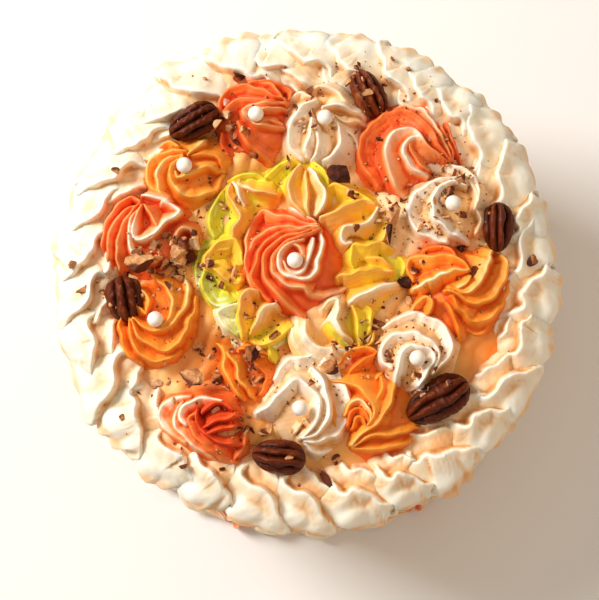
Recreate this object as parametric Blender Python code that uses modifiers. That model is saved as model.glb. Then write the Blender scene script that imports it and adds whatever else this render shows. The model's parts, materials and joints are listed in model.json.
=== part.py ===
# Round carrot cake dressed with piped icing: a frosted body, a shell border on the top edge and
# one round the foot, swirled rosettes, pointed leaf shells, pecan halves, nut pieces and pearls.
# Metres, +Z up. The origin is the centre of the flat underside that the cake rests on.

import math
import random

import bmesh
import bpy
from mathutils import Matrix, Vector

MM = 0.001
GAP = 0.3 * MM          # air between neighbouring solids
SEED = 11

# frosted body, a turned solid
BODY_RADIUS = 98.0 * MM
BODY_HEIGHT = 90.0 * MM
BODY_EDGE = 5.0 * MM    # rounding of the top edge
BODY_STEPS = 56
DECK = BODY_HEIGHT + GAP  # what stands on the cake starts here

# a piped rope has four fins, so a quarter turn brings its section back onto itself
ROPE_POINTS = 8
QUARTER_TURN = math.pi / 2

# big shells on the top edge
TOP_SHELLS = 32
TOP_STATIONS = 4
TOP_RING_RADIUS = 93.6 * MM
TOP_HALF_WIDTH = 11.2 * MM
TOP_HALF_HEIGHT = 9.6 * MM
TOP_LIFT = 6.2 * MM
TOP_VALLEY = 0.74
TOP_INNER_LIMIT = 81.9 * MM  # the dressing inside the border ends here

# smaller shells round the foot, in runs between the coloured stars
FOOT_SHELLS = 34
FOOT_STATIONS = 3
FOOT_RING_RADIUS = 105.2 * MM
FOOT_HALF_WIDTH = 6.8 * MM
FOOT_HALF_HEIGHT = 8.4 * MM
FOOT_LIFT = 5.6 * MM
FOOT_VALLEY = 0.76
FOOT_STAR_BEARINGS = (-107.0, -62.0, -12.0, 41.0, 93.0, 142.0, 199.0)
FOOT_STAR_RADIUS = 6.7 * MM
FOOT_STAR_HEIGHT = 15.0 * MM
FOOT_STAR_CLEARANCE = 4.3  # degrees from a star's centre to the run beside it

# rosettes: bearing and distance from the cake's axis, radius, height, turning sense, slot
ROSETTE_FINS = 5
ROSETTE_TURN = 115.0  # degrees that a ridge sweeps from the middle to the rim
ROSETTE_OVAL = 0.025  # how far its plan swings from a circle
ROSETTES = {
    "rosette_centre": (132.0, 7.8, 21.6, 21.0, -1, "coral_icing"),
    "rosette_1": (107.7, 70.5, 18.0, 17.5, -1, "coral_icing"),
    "rosette_2": (83.7, 66.0, 17.0, 18.0, 1, "cream_icing"),
    "rosette_3": (51.1, 71.0, 21.0, 18.0, 1, "coral_icing"),
    "rosette_4": (26.2, 66.8, 17.0, 20.0, 1, "cream_icing"),
    "rosette_5": (-5.3, 66.9, 20.5, 18.0, -1, "orange_icing"),
    "rosette_6": (-37.5, 56.5, 16.5, 20.0, 1, "cream_icing"),
    "rosette_7": (-62.0, 63.5, 18.0, 17.0, -1, "orange_icing"),
    "rosette_8": (-93.3, 54.9, 19.0, 20.5, 1, "cream_icing"),
    "rosette_9": (-124.4, 73.0, 19.0, 18.0, -1, "coral_icing"),
    "rosette_10": (-163.7, 65.1, 19.0, 18.0, 1, "orange_icing"),
    "rosette_11": (164.5, 70.0, 19.5, 18.5, 1, "coral_icing"),
    "rosette_12": (138.1, 68.4, 16.5, 17.5, -1, "orange_icing"),
    "rosette_13": (-123.0, 47.5, 14.0, 13.5, -1, "orange_icing"),
    "rosette_14": (-57.5, 45.0, 12.0, 13.0, -1, "orange_icing"),
}
# share of the reach, share of the height and depth of the fins at each ring of a rosette
ROSETTE_RINGS = ((0.20, 0.78, 0.00), (0.42, 1.00, 0.16), (0.74, 0.90, 0.24), (1.00, 0.42, 0.20), (0.93, 0.00, 0.08))

# leaf shells stand round the centre rosette with their tips pointing out
LEAF_FINS = 4
LEAF_RADIUS = 13.5 * MM
LEAF_TIP = 16.5 * MM
LEAF_TIP_SPREAD = 0.45  # radians, how wide the pointed tip is
LEAF_SIDE = 0.92        # share of the radius away from the tip
LEAF_DISTANCE = 32.0 * MM
LEAF_HEIGHT = 16.0 * MM
LEAF_BEARINGS = (128.0, 82.0, 37.0, -4.0, -47.0, -80.0, -125.0, 178.0)
LEAF_RINGS = ((0.50, 1.00, 0.26), (1.00, 0.55, 0.24), (0.88, 0.00, 0.06))

# pecan halves: bearing, distance, yaw, roll, length, width, height, base above the deck
PECANS = (
    (126.1, 80.7, 30.0, 6.0, 23.0, 13.0, 6.5, 9.5),
    (72.0, 81.5, -62.0, -10.0, 22.0, 12.0, 6.0, 8.5),
    (14.6, 82.0, 88.0, -8.0, 21.0, 12.0, 6.5, 9.5),
    (-43.5, 74.2, 31.0, -6.0, 29.0, 16.0, 7.0, 8.5),
    (-99.0, 75.2, -8.0, 4.0, 22.4, 13.8, 6.5, 9.0),
    (-172.9, 76.3, 100.0, 8.0, 19.5, 15.0, 6.5, 10.0),
)
PECAN_STATIONS = (-0.80, -0.42, 0.0, 0.42, 0.80)
# two lobes with a furrow between them, as shares of the half width and the height
PECAN_SECTION = (
    (1.00, 0.12), (0.86, 0.66), (0.44, 1.00), (0.00, 0.74),
    (-0.44, 1.00), (-0.86, 0.66), (-1.00, 0.12), (0.00, 0.00),
)

# chopped pieces large enough to be solids: bearing, distance, yaw, length, width, height, base
NUTS = (
    (34.5, 43.4, 82.0, 11.0, 5.5, 5.5, 9.0),
    (175.8, 69.8, 40.0, 9.5, 7.5, 6.0, 14.0),
    (168.0, 53.5, 10.0, 9.0, 7.0, 6.0, 7.5),
    (70.8, 45.2, -8.0, 11.0, 5.0, 5.0, 9.5),
    (-124.6, 39.2, 52.0, 11.0, 8.0, 6.0, 9.0),
    (-138.7, 63.6, 35.0, 8.5, 6.5, 6.0, 12.0),
)

# sugar pearls lie in the bowls of these rosettes
PEARL_RADIUS = 3.3 * MM
PEARL_ROSETTES = (
    "rosette_centre", "rosette_1", "rosette_2", "rosette_4",
    "rosette_6", "rosette_8", "rosette_10", "rosette_12",
)

# slot: colour and roughness
ICINGS = {
    "cream_icing": ((0.93, 0.80, 0.60), 0.50),
    "coral_icing": ((0.88, 0.26, 0.11), 0.48),
    "orange_icing": ((0.92, 0.42, 0.10), 0.48),
    "leaf_icing": ((0.80, 0.66, 0.10), 0.50),
    "pecan": ((0.20, 0.08, 0.04), 0.55),
    "nut_flesh": ((0.62, 0.42, 0.24), 0.70),
    "pearl": ((0.93, 0.88, 0.78), 0.25),
}


def clear_scene():
    for old in list(bpy.data.objects):
        bpy.data.objects.remove(old, do_unlink=True)


def new_collection(name):
    collection = bpy.data.collections.new(name)
    bpy.context.scene.collection.children.link(collection)
    return collection


def icing_material(name, slot):
    colour, roughness = ICINGS[slot]
    material = bpy.data.materials.new(name + "_" + slot)
    material.use_nodes = True
    shader = material.node_tree.nodes["Principled BSDF"]
    shader.inputs["Base Color"].default_value = (*colour, 1.0)
    shader.inputs["Roughness"].default_value = roughness
    shader.inputs["Metallic"].default_value = 0.0
    return material


def add_object(name, mesh_builder, collection, slot):
    """Turn a bmesh into a named object with its own material."""
    mesh = bpy.data.meshes.new(name)
    mesh_builder.to_mesh(mesh)
    mesh_builder.free()
    mesh.shade_smooth()
    mesh.materials.append(icing_material(name, slot))
    obj = bpy.data.objects.new(name, mesh)
    collection.objects.link(obj)
    return obj


def polar(bearing_deg, distance, height=0.0):
    bearing = math.radians(bearing_deg)
    return Vector((distance * math.cos(bearing), distance * math.sin(bearing), height))


def skin(rings, closed_path=False, first_cap=None, last_cap=None):
    """Join rings of points by quads; an open skin is closed by fans to two cap points."""
    bm = bmesh.new()
    loops = [[bm.verts.new(point) for point in ring] for ring in rings]
    pairs = list(zip(loops, loops[1:]))
    if closed_path:
        pairs.append((loops[-1], loops[0]))
    for ring, following in pairs:
        count = len(ring)
        for i in range(count):
            j = (i + 1) % count
            bm.faces.new((ring[i], ring[j], following[j], following[i]))
    if not closed_path:
        for loop, cap in ((loops[0], first_cap), (loops[-1], last_cap)):
            tip = bm.verts.new(cap)
            for i in range(len(loop)):
                bm.faces.new((loop[i], tip, loop[(i + 1) % len(loop)]))
    bmesh.ops.triangulate(bm, faces=bm.faces)
    bmesh.ops.recalc_face_normals(bm, faces=bm.faces)
    return bm


# ---- frosted body ----

def add_body(collection):
    """Profile down the outer side, turned by a Screw modifier."""
    profile = [(0.0, BODY_HEIGHT)]
    for step in range(4):
        angle = math.radians(90.0 - 30.0 * step)
        profile.append((
            BODY_RADIUS - BODY_EDGE + BODY_EDGE * math.cos(angle),
            BODY_HEIGHT - BODY_EDGE + BODY_EDGE * math.sin(angle),
        ))
    profile += [(BODY_RADIUS, 0.0), (0.0, 0.0)]
    bm = bmesh.new()
    verts = [bm.verts.new((x, 0.0, z)) for x, z in profile]
    for start, end in zip(verts, verts[1:]):
        bm.edges.new((start, end))
    body = add_object("cake_body", bm, collection, "cream_icing")
    screw = body.modifiers.new("turn", "SCREW")
    screw.steps = BODY_STEPS
    screw.render_steps = BODY_STEPS
    screw.use_merge_vertices = True
    screw.merge_threshold = 0.00001
    return body


# ---- shell borders ----

def shell_size(share):
    """Size along one shell, from its head at 0 to the thin tail at 1."""
    return 0.60 + 0.40 * math.sin(math.pi * share ** 0.7)


def rope_ring(bearing, ring_radius, size, turn, half_width, half_height, lift, valley):
    """One finned section of a rope that runs round the cake, flat where it lies down."""
    ring = []
    for k in range(ROPE_POINTS):
        angle = turn + k * math.tau / ROPE_POINTS
        swing = size * (1.0 if k % 2 == 0 else valley)
        across = half_width * swing * math.cos(angle)
        up = max(0.0, lift + half_height * swing * math.sin(angle))
        ring.append(polar(math.degrees(bearing), ring_radius + across, up))
    return ring


def uneven_bearings(count, rng):
    """Where each shell of the top border starts: wide at the front left, narrow at the back."""
    pitches = []
    for i in range(count):
        bearing = math.tau * i / count
        pitches.append(1.0 + 0.13 * math.cos(bearing + math.radians(100.0)) + rng.uniform(-0.06, 0.06))
    scale = math.tau / sum(pitches)
    starts = [0.0]
    for pitch in pitches:
        starts.append(starts[-1] + pitch * scale)
    return starts


def add_top_border(collection):
    rng = random.Random(SEED)
    starts = uneven_bearings(TOP_SHELLS, rng)
    rings = []
    for shell in range(TOP_SHELLS):
        plump = rng.uniform(0.95, 1.04)
        shift = rng.uniform(-0.5, 0.5) * MM
        for station in range(TOP_STATIONS):
            share = station / TOP_STATIONS
            bearing = starts[shell] + share * (starts[shell + 1] - starts[shell])
            turn = QUARTER_TURN * (shell + share)
            ring = rope_ring(
                bearing, TOP_RING_RADIUS + shift * math.sin(math.pi * share), plump * shell_size(share), turn,
                TOP_HALF_WIDTH, TOP_HALF_HEIGHT, TOP_LIFT, TOP_VALLEY)
            rings.append([point + Vector((0.0, 0.0, DECK)) for point in ring])
    return add_object("border_top", skin(rings, closed_path=True), collection, "cream_icing")


def add_foot_run(number, first_deg, last_deg, collection, rng):
    """A run of shells from one coloured star to the next, with tapered ends."""
    span = math.radians(last_deg - first_deg)
    shells = max(2, round(span / math.tau * FOOT_SHELLS))
    rings = []
    for shell in range(shells):
        plump = rng.uniform(0.93, 1.0)
        for station in range(FOOT_STATIONS):
            share = station / FOOT_STATIONS
            bearing = math.radians(first_deg) + span * (shell + share) / shells
            rings.append(rope_ring(
                bearing, FOOT_RING_RADIUS, plump * shell_size(share), QUARTER_TURN * (shell + share),
                FOOT_HALF_WIDTH, FOOT_HALF_HEIGHT, FOOT_LIFT, FOOT_VALLEY))
    caps = [polar(edge, FOOT_RING_RADIUS, 0.6 * FOOT_LIFT) for edge in (first_deg - 0.4, last_deg)]
    run = skin(rings, first_cap=caps[0], last_cap=caps[1])
    return add_object("border_foot_%d" % number, run, collection, "cream_icing")


# ---- rosettes, leaf shells and foot stars ----

class Dome:
    """A piped mound: ridges that run from its middle to its rim, on an uneven round plan."""

    def __init__(self, name, centre, radius, height, slot):
        self.name = name
        self.centre = centre
        self.radius = radius
        self.height = height
        self.slot = slot
        self.neighbours = []
        self.fins = ROSETTE_FINS
        self.turn = 0.0
        self.rings = ROSETTE_RINGS
        self.tip_bearing = None
        self.limit = TOP_INNER_LIMIT

    def plan(self, angle):
        """Reach before neighbours press on it: a soft oval, or a drop with a pointed tip."""
        if self.tip_bearing is None:
            lie = self.centre.x / self.radius
            return self.radius * (1.0 - ROSETTE_OVAL + ROSETTE_OVAL * math.cos(2.0 * angle + lie))
        off = math.remainder(angle - self.tip_bearing, math.tau)
        bulge = math.exp(-(off / LEAF_TIP_SPREAD) ** 2)
        side = LEAF_SIDE * self.radius
        return side + (LEAF_TIP - side) * bulge

    def reach(self, angle):
        """Reach along an angle once neighbours and the border have pressed it flat."""
        reach = self.plan(angle)
        for other in self.neighbours:
            span = other.centre - self.centre
            apart = span.length
            wall = (apart ** 2 + self.radius ** 2 - other.radius ** 2) / (2.0 * apart) - GAP / 2.0
            facing = math.cos(angle - math.atan2(span.y, span.x))
            if facing > 0.0:
                reach = min(reach, wall / facing)
        if self.limit:
            along = self.centre.x * math.cos(angle) + self.centre.y * math.sin(angle)
            off_axis = self.centre.x ** 2 + self.centre.y ** 2
            reach = min(reach, -along + math.sqrt(along ** 2 - off_axis + self.limit ** 2))
        return reach

    def build(self, collection, base):
        rings = []
        points = 4 * self.fins
        for share, rise, fin_depth in self.rings:
            ring = []
            for k in range(points):
                angle = self.turn * share + k * math.tau / points
                furrow = 0.5 - 0.5 * math.cos(self.fins * k * math.tau / points)
                out = self.reach(angle) * share * (1.0 - 0.5 * fin_depth * furrow)
                up = self.height * rise * (1.0 - fin_depth * furrow)
                ring.append(Vector((
                    self.centre.x + out * math.cos(angle),
                    self.centre.y + out * math.sin(angle),
                    base + up,
                )))
            rings.append(ring)
        middle = Vector((self.centre.x, self.centre.y, base + self.height * self.rings[0][1]))
        foot = Vector((self.centre.x, self.centre.y, base))
        bm = skin(rings, first_cap=middle, last_cap=foot)
        return add_object(self.name, bm, collection, self.slot)


def plan_dressing():
    """Centres and sizes of all that is piped inside the top border."""
    domes = {}
    for name, (bearing, distance, radius, height, sense, slot) in ROSETTES.items():
        dome = Dome(name, polar(bearing, distance * MM), radius * MM, height * MM, slot)
        dome.turn = sense * math.radians(ROSETTE_TURN)
        domes[name] = dome
    hub = domes["rosette_centre"].centre
    for number, bearing in enumerate(LEAF_BEARINGS, start=1):
        name = "leaf_%d" % number
        leaf = Dome(name, hub + polar(bearing, LEAF_DISTANCE), LEAF_RADIUS, LEAF_HEIGHT, "leaf_icing")
        leaf.fins = LEAF_FINS
        leaf.rings = LEAF_RINGS
        leaf.tip_bearing = math.radians(bearing)
        leaf.turn = math.radians(bearing)
        domes[name] = leaf
    for dome in domes.values():
        dome.neighbours = [other for other in domes.values() if other is not dome]
    return domes


def add_pearl(number, dome, collection):
    """A pearl just clear of the floor of its rosette's bowl."""
    bm = bmesh.new()
    floor = DECK + dome.height * ROSETTE_RINGS[0][1]
    place = Matrix.Translation((dome.centre.x, dome.centre.y, floor + GAP + PEARL_RADIUS))
    bmesh.ops.create_uvsphere(bm, u_segments=8, v_segments=5, radius=PEARL_RADIUS, matrix=place)
    return add_object("pearl_%d" % number, bm, collection, "pearl")


def add_foot_star(number, bearing, collection):
    centre = polar(bearing, FOOT_RING_RADIUS)
    star = Dome("foot_star_%d" % number, centre, FOOT_STAR_RADIUS, FOOT_STAR_HEIGHT, "coral_icing")
    star.limit = None
    star.fins = LEAF_FINS
    star.rings = LEAF_RINGS
    star.turn = math.radians(70.0)
    return star.build(collection, 0.0)


# ---- pecan halves and chopped nuts ----

def pecan_rings(length, width, height, spare, furrowed=True):
    """Sections of a half nut lying along X with its ridged side up, grown by `spare`."""
    rings = []
    for along in PECAN_STATIONS:
        plump = (1.0 - along ** 2) ** 0.42
        ring = []
        for across, up in PECAN_SECTION:
            rise = up if furrowed or across else 1.06 * round(up)
            ring.append(Vector((
                along * (length / 2.0 + spare),
                across * plump * (width / 2.0 + spare),
                rise * plump * (height + 1.6 * spare) - spare,
            )))
        rings.append(ring)
    tips = [Vector((side * (length / 2.0 + spare), 0.0, 0.3 * height)) for side in (-1.0, 1.0)]
    return rings, tips


def add_nut_piece(name, place, rings, tips, collection, slot):
    placed = [[place @ point for point in ring] for ring in rings]
    bm = skin(placed, first_cap=place @ tips[0], last_cap=place @ tips[1])
    return add_object(name, bm, collection, slot)


def add_pecan(number, values, parts, cutters):
    bearing, distance, yaw, roll, length, width, height, base = values
    spot = polar(bearing, distance * MM, DECK + base * MM)
    place = Matrix.Translation(spot) @ Matrix.Rotation(math.radians(yaw), 4, "Z")
    place = place @ Matrix.Rotation(math.radians(roll), 4, "X")
    sizes = (length * MM, width * MM, height * MM)
    rings, tips = pecan_rings(*sizes, 0.0)
    add_nut_piece("pecan_%d" % number, place, rings, tips, parts, "pecan")
    rings, tips = pecan_rings(*sizes, GAP * 1.3, furrowed=False)
    return add_nut_piece("cut_pecan_%d" % number, place, rings, tips, cutters, "pecan")


def chopped_piece(place, length, width, height, spare, seed):
    """An angular chunk: a coarse ball, knocked about and stretched, with its own seed."""
    rng = random.Random(seed)
    bm = bmesh.new()
    bmesh.ops.create_icosphere(bm, subdivisions=1, radius=1.0)
    for vert in bm.verts:
        vert.co *= rng.uniform(0.86, 1.0)
        vert.co.x *= length / 2.0 + spare
        vert.co.y *= width / 2.0 + spare
        vert.co.z *= height / 2.0 + spare
    bmesh.ops.transform(bm, matrix=place, verts=bm.verts)
    return bm


def add_nut(number, values, parts, cutters):
    bearing, distance, yaw, length, width, height, base = values
    spot = polar(bearing, distance * MM, DECK + (base + height / 2.0) * MM)
    place = Matrix.Translation(spot) @ Matrix.Rotation(math.radians(yaw), 4, "Z")
    sizes = (length * MM, width * MM, height * MM)
    seed = SEED + number
    add_object("nut_%d" % number, chopped_piece(place, *sizes, 0.0, seed), parts, "nut_flesh")
    wider = chopped_piece(place, *sizes, GAP * 1.6, seed)
    return add_object("cut_nut_%d" % number, wider, cutters, "nut_flesh")


def box_of(obj):
    corners = [obj.matrix_world @ vert.co for vert in obj.data.vertices]
    low = Vector([min(corner[axis] for corner in corners) for axis in range(3)])
    high = Vector([max(corner[axis] for corner in corners) for axis in range(3)])
    return low, high


def press_into(icing, cutters):
    """Each nut leaves its own hollow, a little larger than itself, in the icing it sits in."""
    for cutter in cutters:
        cutter.hide_render = True
        cutter.display_type = "WIRE"
        low, high = box_of(cutter)
        for obj in icing:
            base, top = box_of(obj)
            if all(low[axis] < top[axis] and base[axis] < high[axis] for axis in range(3)):
                hollow = obj.modifiers.new("seat_" + cutter.name, "BOOLEAN")
                hollow.operation = "DIFFERENCE"
                hollow.object = cutter


def main():
    clear_scene()
    parts = new_collection("carrot_cake")
    cutting = new_collection("cutters")
    add_body(parts)
    icing = [add_top_border(parts)]

    domes = plan_dressing()
    for dome in domes.values():
        icing.append(dome.build(parts, DECK))
    for number, name in enumerate(PEARL_ROSETTES, start=1):
        add_pearl(number, domes[name], parts)

    rng = random.Random(SEED + 1)
    stars = FOOT_STAR_BEARINGS
    for number, bearing in enumerate(stars, start=1):
        following = stars[number] if number < len(stars) else stars[0] + 360.0
        add_foot_star(number, bearing, parts)
        add_foot_run(number, bearing + FOOT_STAR_CLEARANCE, following - FOOT_STAR_CLEARANCE, parts, rng)

    cutters = [add_pecan(number, values, parts, cutting) for number, values in enumerate(PECANS, start=1)]
    cutters += [add_nut(number, values, parts, cutting) for number, values in enumerate(NUTS, start=1)]
    press_into(icing, cutters)


main()
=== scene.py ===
import json
import math

import bpy
import numpy as np
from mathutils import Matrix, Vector

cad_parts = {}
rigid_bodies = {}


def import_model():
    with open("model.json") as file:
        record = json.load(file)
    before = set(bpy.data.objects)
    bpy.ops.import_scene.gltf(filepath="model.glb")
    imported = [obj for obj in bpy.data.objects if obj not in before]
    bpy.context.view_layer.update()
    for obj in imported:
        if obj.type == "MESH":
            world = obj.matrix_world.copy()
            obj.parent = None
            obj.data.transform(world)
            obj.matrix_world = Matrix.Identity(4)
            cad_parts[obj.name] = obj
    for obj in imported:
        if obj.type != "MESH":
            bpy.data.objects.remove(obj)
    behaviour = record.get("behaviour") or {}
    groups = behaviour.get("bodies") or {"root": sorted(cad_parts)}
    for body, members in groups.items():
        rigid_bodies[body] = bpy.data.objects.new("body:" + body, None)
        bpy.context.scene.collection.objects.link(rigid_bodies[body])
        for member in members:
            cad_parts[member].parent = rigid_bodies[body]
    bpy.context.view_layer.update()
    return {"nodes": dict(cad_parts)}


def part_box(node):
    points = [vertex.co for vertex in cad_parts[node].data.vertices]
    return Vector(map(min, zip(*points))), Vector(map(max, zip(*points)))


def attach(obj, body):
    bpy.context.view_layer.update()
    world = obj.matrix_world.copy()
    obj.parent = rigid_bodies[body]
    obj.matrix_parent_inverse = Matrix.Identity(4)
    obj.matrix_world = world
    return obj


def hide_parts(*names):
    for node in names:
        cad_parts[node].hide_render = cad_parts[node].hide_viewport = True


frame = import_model()
mm = 0.001
body = "root"


def place(node):
    # middle and size of a node's box, as arrays
    low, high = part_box(node)
    return np.array((low + high) / 2), np.array(high - low)


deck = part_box("border_top")[0].z  # where the dressing stands on the cake


def smooth(value, start=0.0, end=1.0):
    share = np.clip((value - start) / (end - start), 0.0, 1.0)
    return share * share * (3.0 - 2.0 * share)


def mix(first, second, share):
    return first + (second - first) * share


def circle(count):
    # bearings once round
    return np.linspace(0.0, 2.0 * math.pi, count, endpoint=False)


def waves(points, size, seed):
    # slow uneven waves through space, about -1 to 1, one value a point
    count = 5
    draw = np.random.default_rng(seed)
    total = np.zeros(points.shape[:-1])
    for _ in range(count):
        heading = draw.normal(size=3)
        heading *= draw.uniform(0.7, 1.6) / np.linalg.norm(heading)
        total += np.sin(points @ heading * (2.0 * math.pi / size) + draw.uniform(0.0, 6.28))
    return total / math.sqrt(count * 1.2)


class Piece:
    # gathers closed skins and turns them into one mesh, with values for the finish on each point
    def __init__(self):
        self.points = []
        self.faces = []
        self.values = {"tone": [], "crest": []}
        self.total = 0

    def addSkin(self, rings, tone, crest):
        # rings is stations x points x 3; both ends are closed by a pole
        stations, around = rings.shape[:2]
        first = self.total
        points = np.concatenate([rings[:1].mean(axis=1), rings.reshape(-1, 3), rings[-1:].mean(axis=1)])
        start = first + 1
        index = start + np.arange(stations * around).reshape(stations, around)
        following = np.roll(index, -1, axis=1)
        quads = np.stack([index[:-1], following[:-1], following[1:], index[1:]], axis=-1).reshape(-1, 4)
        last = first + len(points) - 1
        lowFan = np.stack([np.full(around, first), following[0], index[0]], axis=-1)
        highFan = np.stack([np.full(around, last), index[-1], following[-1]], axis=-1)
        # a skin whose volume comes out negative is inside out
        a, b, c = (points[quads[:, i] - first] for i in range(3))
        d = points[quads[:, 3] - first]
        middle = points.mean(axis=0)
        volume = np.einsum("ij,ij->i", np.cross(b - middle, c - middle), a - middle).sum()
        volume += np.einsum("ij,ij->i", np.cross(c - middle, d - middle), a - middle).sum()
        faces = quads.tolist() + lowFan.tolist() + highFan.tolist()
        if volume < 0:
            faces = [face[::-1] for face in faces]
        self.points.append(points)
        self.faces += faces
        for name, value in (("tone", tone), ("crest", crest)):
            value = np.broadcast_to(value, (stations, around))
            low, high = value[:1].mean(axis=1), value[-1:].mean(axis=1)
            self.values[name].append(np.concatenate([low, value.ravel(), high]))
        self.total += len(points)

    def mesh(self, name, material, flat=False):
        mesh = bpy.data.meshes.new(name)
        mesh.from_pydata(np.concatenate(self.points), [], self.faces)
        for key, parts in self.values.items():
            attribute = mesh.attributes.new(key, "FLOAT", "POINT")
            attribute.data.foreach_set("value", np.concatenate(parts).astype(np.float32))
        mesh.materials.append(material)
        if not flat:
            mesh.shade_smooth()
        return mesh


def addObject(name, mesh):
    thing = bpy.data.objects.new(name, mesh)
    bpy.context.scene.collection.objects.link(thing)
    return thing


def dress(name, mesh, slot, *nodes):
    # a finished piece that stands for CAD nodes
    thing = addObject(name, mesh)
    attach(thing, body)
    if nodes:
        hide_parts(*nodes)
    return thing


def pipe(piece, path, width, phase, look, seed):
    # a rope of icing out of a star nozzle: path and width by station, phase turns the fins,
    # its lower half reaches down to the ground
    tangent = np.gradient(path, axis=0)
    tangent /= np.linalg.norm(tangent, axis=1)[:, None]
    side = np.cross(tangent, (0.0, 0.0, 1.0))
    side /= np.linalg.norm(side, axis=1)[:, None]
    rise = np.cross(side, tangent)
    angle = circle(look["around"])[None, :]
    rough = path[:, None] + width[:, None, None] * (
        side[:, None] * np.cos(angle)[..., None] + rise[:, None] * np.sin(angle)[..., None])
    shift = look["kink"] * waves(rough, look["kinkSize"], seed + 1)
    count = (angle - phase[:, None] + shift) * look["fins"] / (2.0 * math.pi)
    fin = np.floor(count).astype(int)
    share = smooth(count - fin, 0.25, 0.75)
    sharp = np.array(look["sharp"])
    sharp = mix(sharp[fin % len(sharp)], sharp[(fin + 1) % len(sharp)], share)
    crest = ((1.0 + np.cos(count * 2.0 * math.pi)) / 2.0) ** sharp
    depth = look["depth"] * (1.0 + look["uneven"] * waves(rough, look["unevenSize"], seed + 2))
    reach = width[:, None] * (1.0 - depth * (1.0 - crest))
    reach = reach * (1.0 + look["lump"] * waves(rough, look["lumpSize"], seed + 3))
    leaned = angle + look["lean"] * crest
    across = reach * np.cos(leaned)
    up = reach * np.sin(leaned)
    stretch = np.maximum(path[:, 2] / np.maximum(width, 0.1 * mm), 0.3)[:, None]
    up = np.where(up < 0.0, up * stretch, up)
    rings = path[:, None] + side[:, None] * across[..., None] + rise[:, None] * up[..., None]
    rings[..., 2] = np.maximum(rings[..., 2], 0.0)
    piece.addSkin(rings, look["tone"], crest)


class Wire:
    # one output of a material node, on which sums can be written
    def __init__(self, finish, socket):
        self.finish = finish
        self.socket = socket

    def sum(self, operation, first, second):
        return self.finish.node("ShaderNodeMath", {"operation": operation}, {0: first, 1: second})

    def __add__(self, other):
        return self.sum("ADD", self, other)

    __radd__ = __add__

    def __sub__(self, other):
        return self.sum("SUBTRACT", self, other)

    def __mul__(self, other):
        return self.sum("MULTIPLY", self, other)

    def over(self, start, end):
        # 0 below start, 1 above end
        settings = {"interpolation_type": "SMOOTHSTEP", "clamp": True}
        sockets = {"Value": self, "From Min": start, "From Max": end}
        return self.finish.node("ShaderNodeMapRange", settings, sockets)


class Finish:
    def __init__(self, name, **fixed):
        self.material = bpy.data.materials.new(name)
        self.material.use_nodes = True
        self.tree = self.material.node_tree
        self.shader = self.tree.nodes["Principled BSDF"]
        for key, value in fixed.items():
            self.shader.inputs[key.replace("_", " ")].default_value = value

    def node(self, kind, settings, sockets, output=0):
        made = self.tree.nodes.new(kind)
        for key, value in settings.items():
            if key == "stops":
                ramp = made.color_ramp
                while len(ramp.elements) < len(value):
                    ramp.elements.new(0.5)
                for element, (position, colour) in zip(ramp.elements, value):
                    element.position = position
                    element.color = (*colour, 1.0)
            else:
                setattr(made, key, value)
        for key, value in sockets.items():
            if isinstance(value, Wire):
                self.tree.links.new(value.socket, made.inputs[key])
            else:
                made.inputs[key].default_value = value
        return Wire(self, made.outputs[output])

    def attribute(self, name):
        return self.node("ShaderNodeAttribute", {"attribute_name": name}, {}, "Fac")

    def place(self):
        return self.node("ShaderNodeTexCoord", {}, {}, "Object")

    def noise(self, scale, detail=2.0, roughness=0.5):
        sockets = {"Vector": self.place(), "Scale": scale, "Detail": detail, "Roughness": roughness}
        return self.node("ShaderNodeTexNoise", {}, sockets)

    def ramp(self, value, *stops):
        return self.node("ShaderNodeValToRGB", {"stops": stops}, {"Fac": value})

    def blend(self, share, first, second):
        sockets = {"Factor": share, 6: first, 7: second}
        return self.node("ShaderNodeMix", {"data_type": "RGBA"}, sockets, 2)

    def bump(self, height, distance, strength):
        sockets = {"Height": height, "Distance": distance, "Strength": strength}
        return self.node("ShaderNodeBump", {}, sockets)

    def feed(self, **links):
        for key, wire in links.items():
            self.tree.links.new(wire.socket, self.shader.inputs[key.replace("_", " ")])
        return self.material


icingLook = {
    "glow": 0.30, "glowDepth": 3.0 * mm, "glowColour": (1.0, 0.55, 0.30), "shine": 0.42,
    "cloud": 0.26, "streak": 0.08, "speck": 0.75, "speckColour": (0.27, 0.10, 0.03, 1.0),
    "smoothest": 0.40, "rougher": 0.22, "bump": 0.12 * mm, "bumpStrength": 0.7,
}


def icingFinish(name, stops, valley, dust=1.0):
    # tone picks the colour; crests are painted paler and hollows painted deeper by the crest value, a painted
    # highlight and painted shade; cinnamon specks lie on it
    finish = Finish(name, Subsurface_Weight=icingLook["glow"], Subsurface_Scale=icingLook["glowDepth"],
                    Specular_IOR_Level=icingLook["shine"])
    finish.shader.inputs["Subsurface Radius"].default_value = icingLook["glowColour"]
    tone = finish.attribute("tone")
    crest = finish.attribute("crest")
    cloud = finish.noise(70.0, 3.0)
    streak = finish.noise(260.0, 3.0, 0.6)
    # painted shade in the hollows and a painted highlight on the crests, from the crest value
    shade = tone + crest * valley + (cloud - 0.5) * icingLook["cloud"]
    shade = shade + (streak - 0.5) * icingLook["streak"] - 0.5 * valley
    colour = finish.ramp(shade, *stops)
    speckPlace = finish.noise(1500.0, 2.0, 0.6)
    gather = finish.noise(55.0, 2.0)
    speck = speckPlace.over(0.695, 0.74) * gather.over(0.46, 0.66) * dust
    colour = finish.blend(speck * icingLook["speck"], colour, icingLook["speckColour"])
    grain = finish.noise(2400.0, 2.0, 0.6)
    roughness = icingLook["smoothest"] + cloud * icingLook["rougher"]
    normal = finish.bump(grain * 0.6 + streak * 0.8, icingLook["bump"], icingLook["bumpStrength"])
    return finish.feed(Base_Color=colour, Roughness=roughness, Normal=normal)


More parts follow.
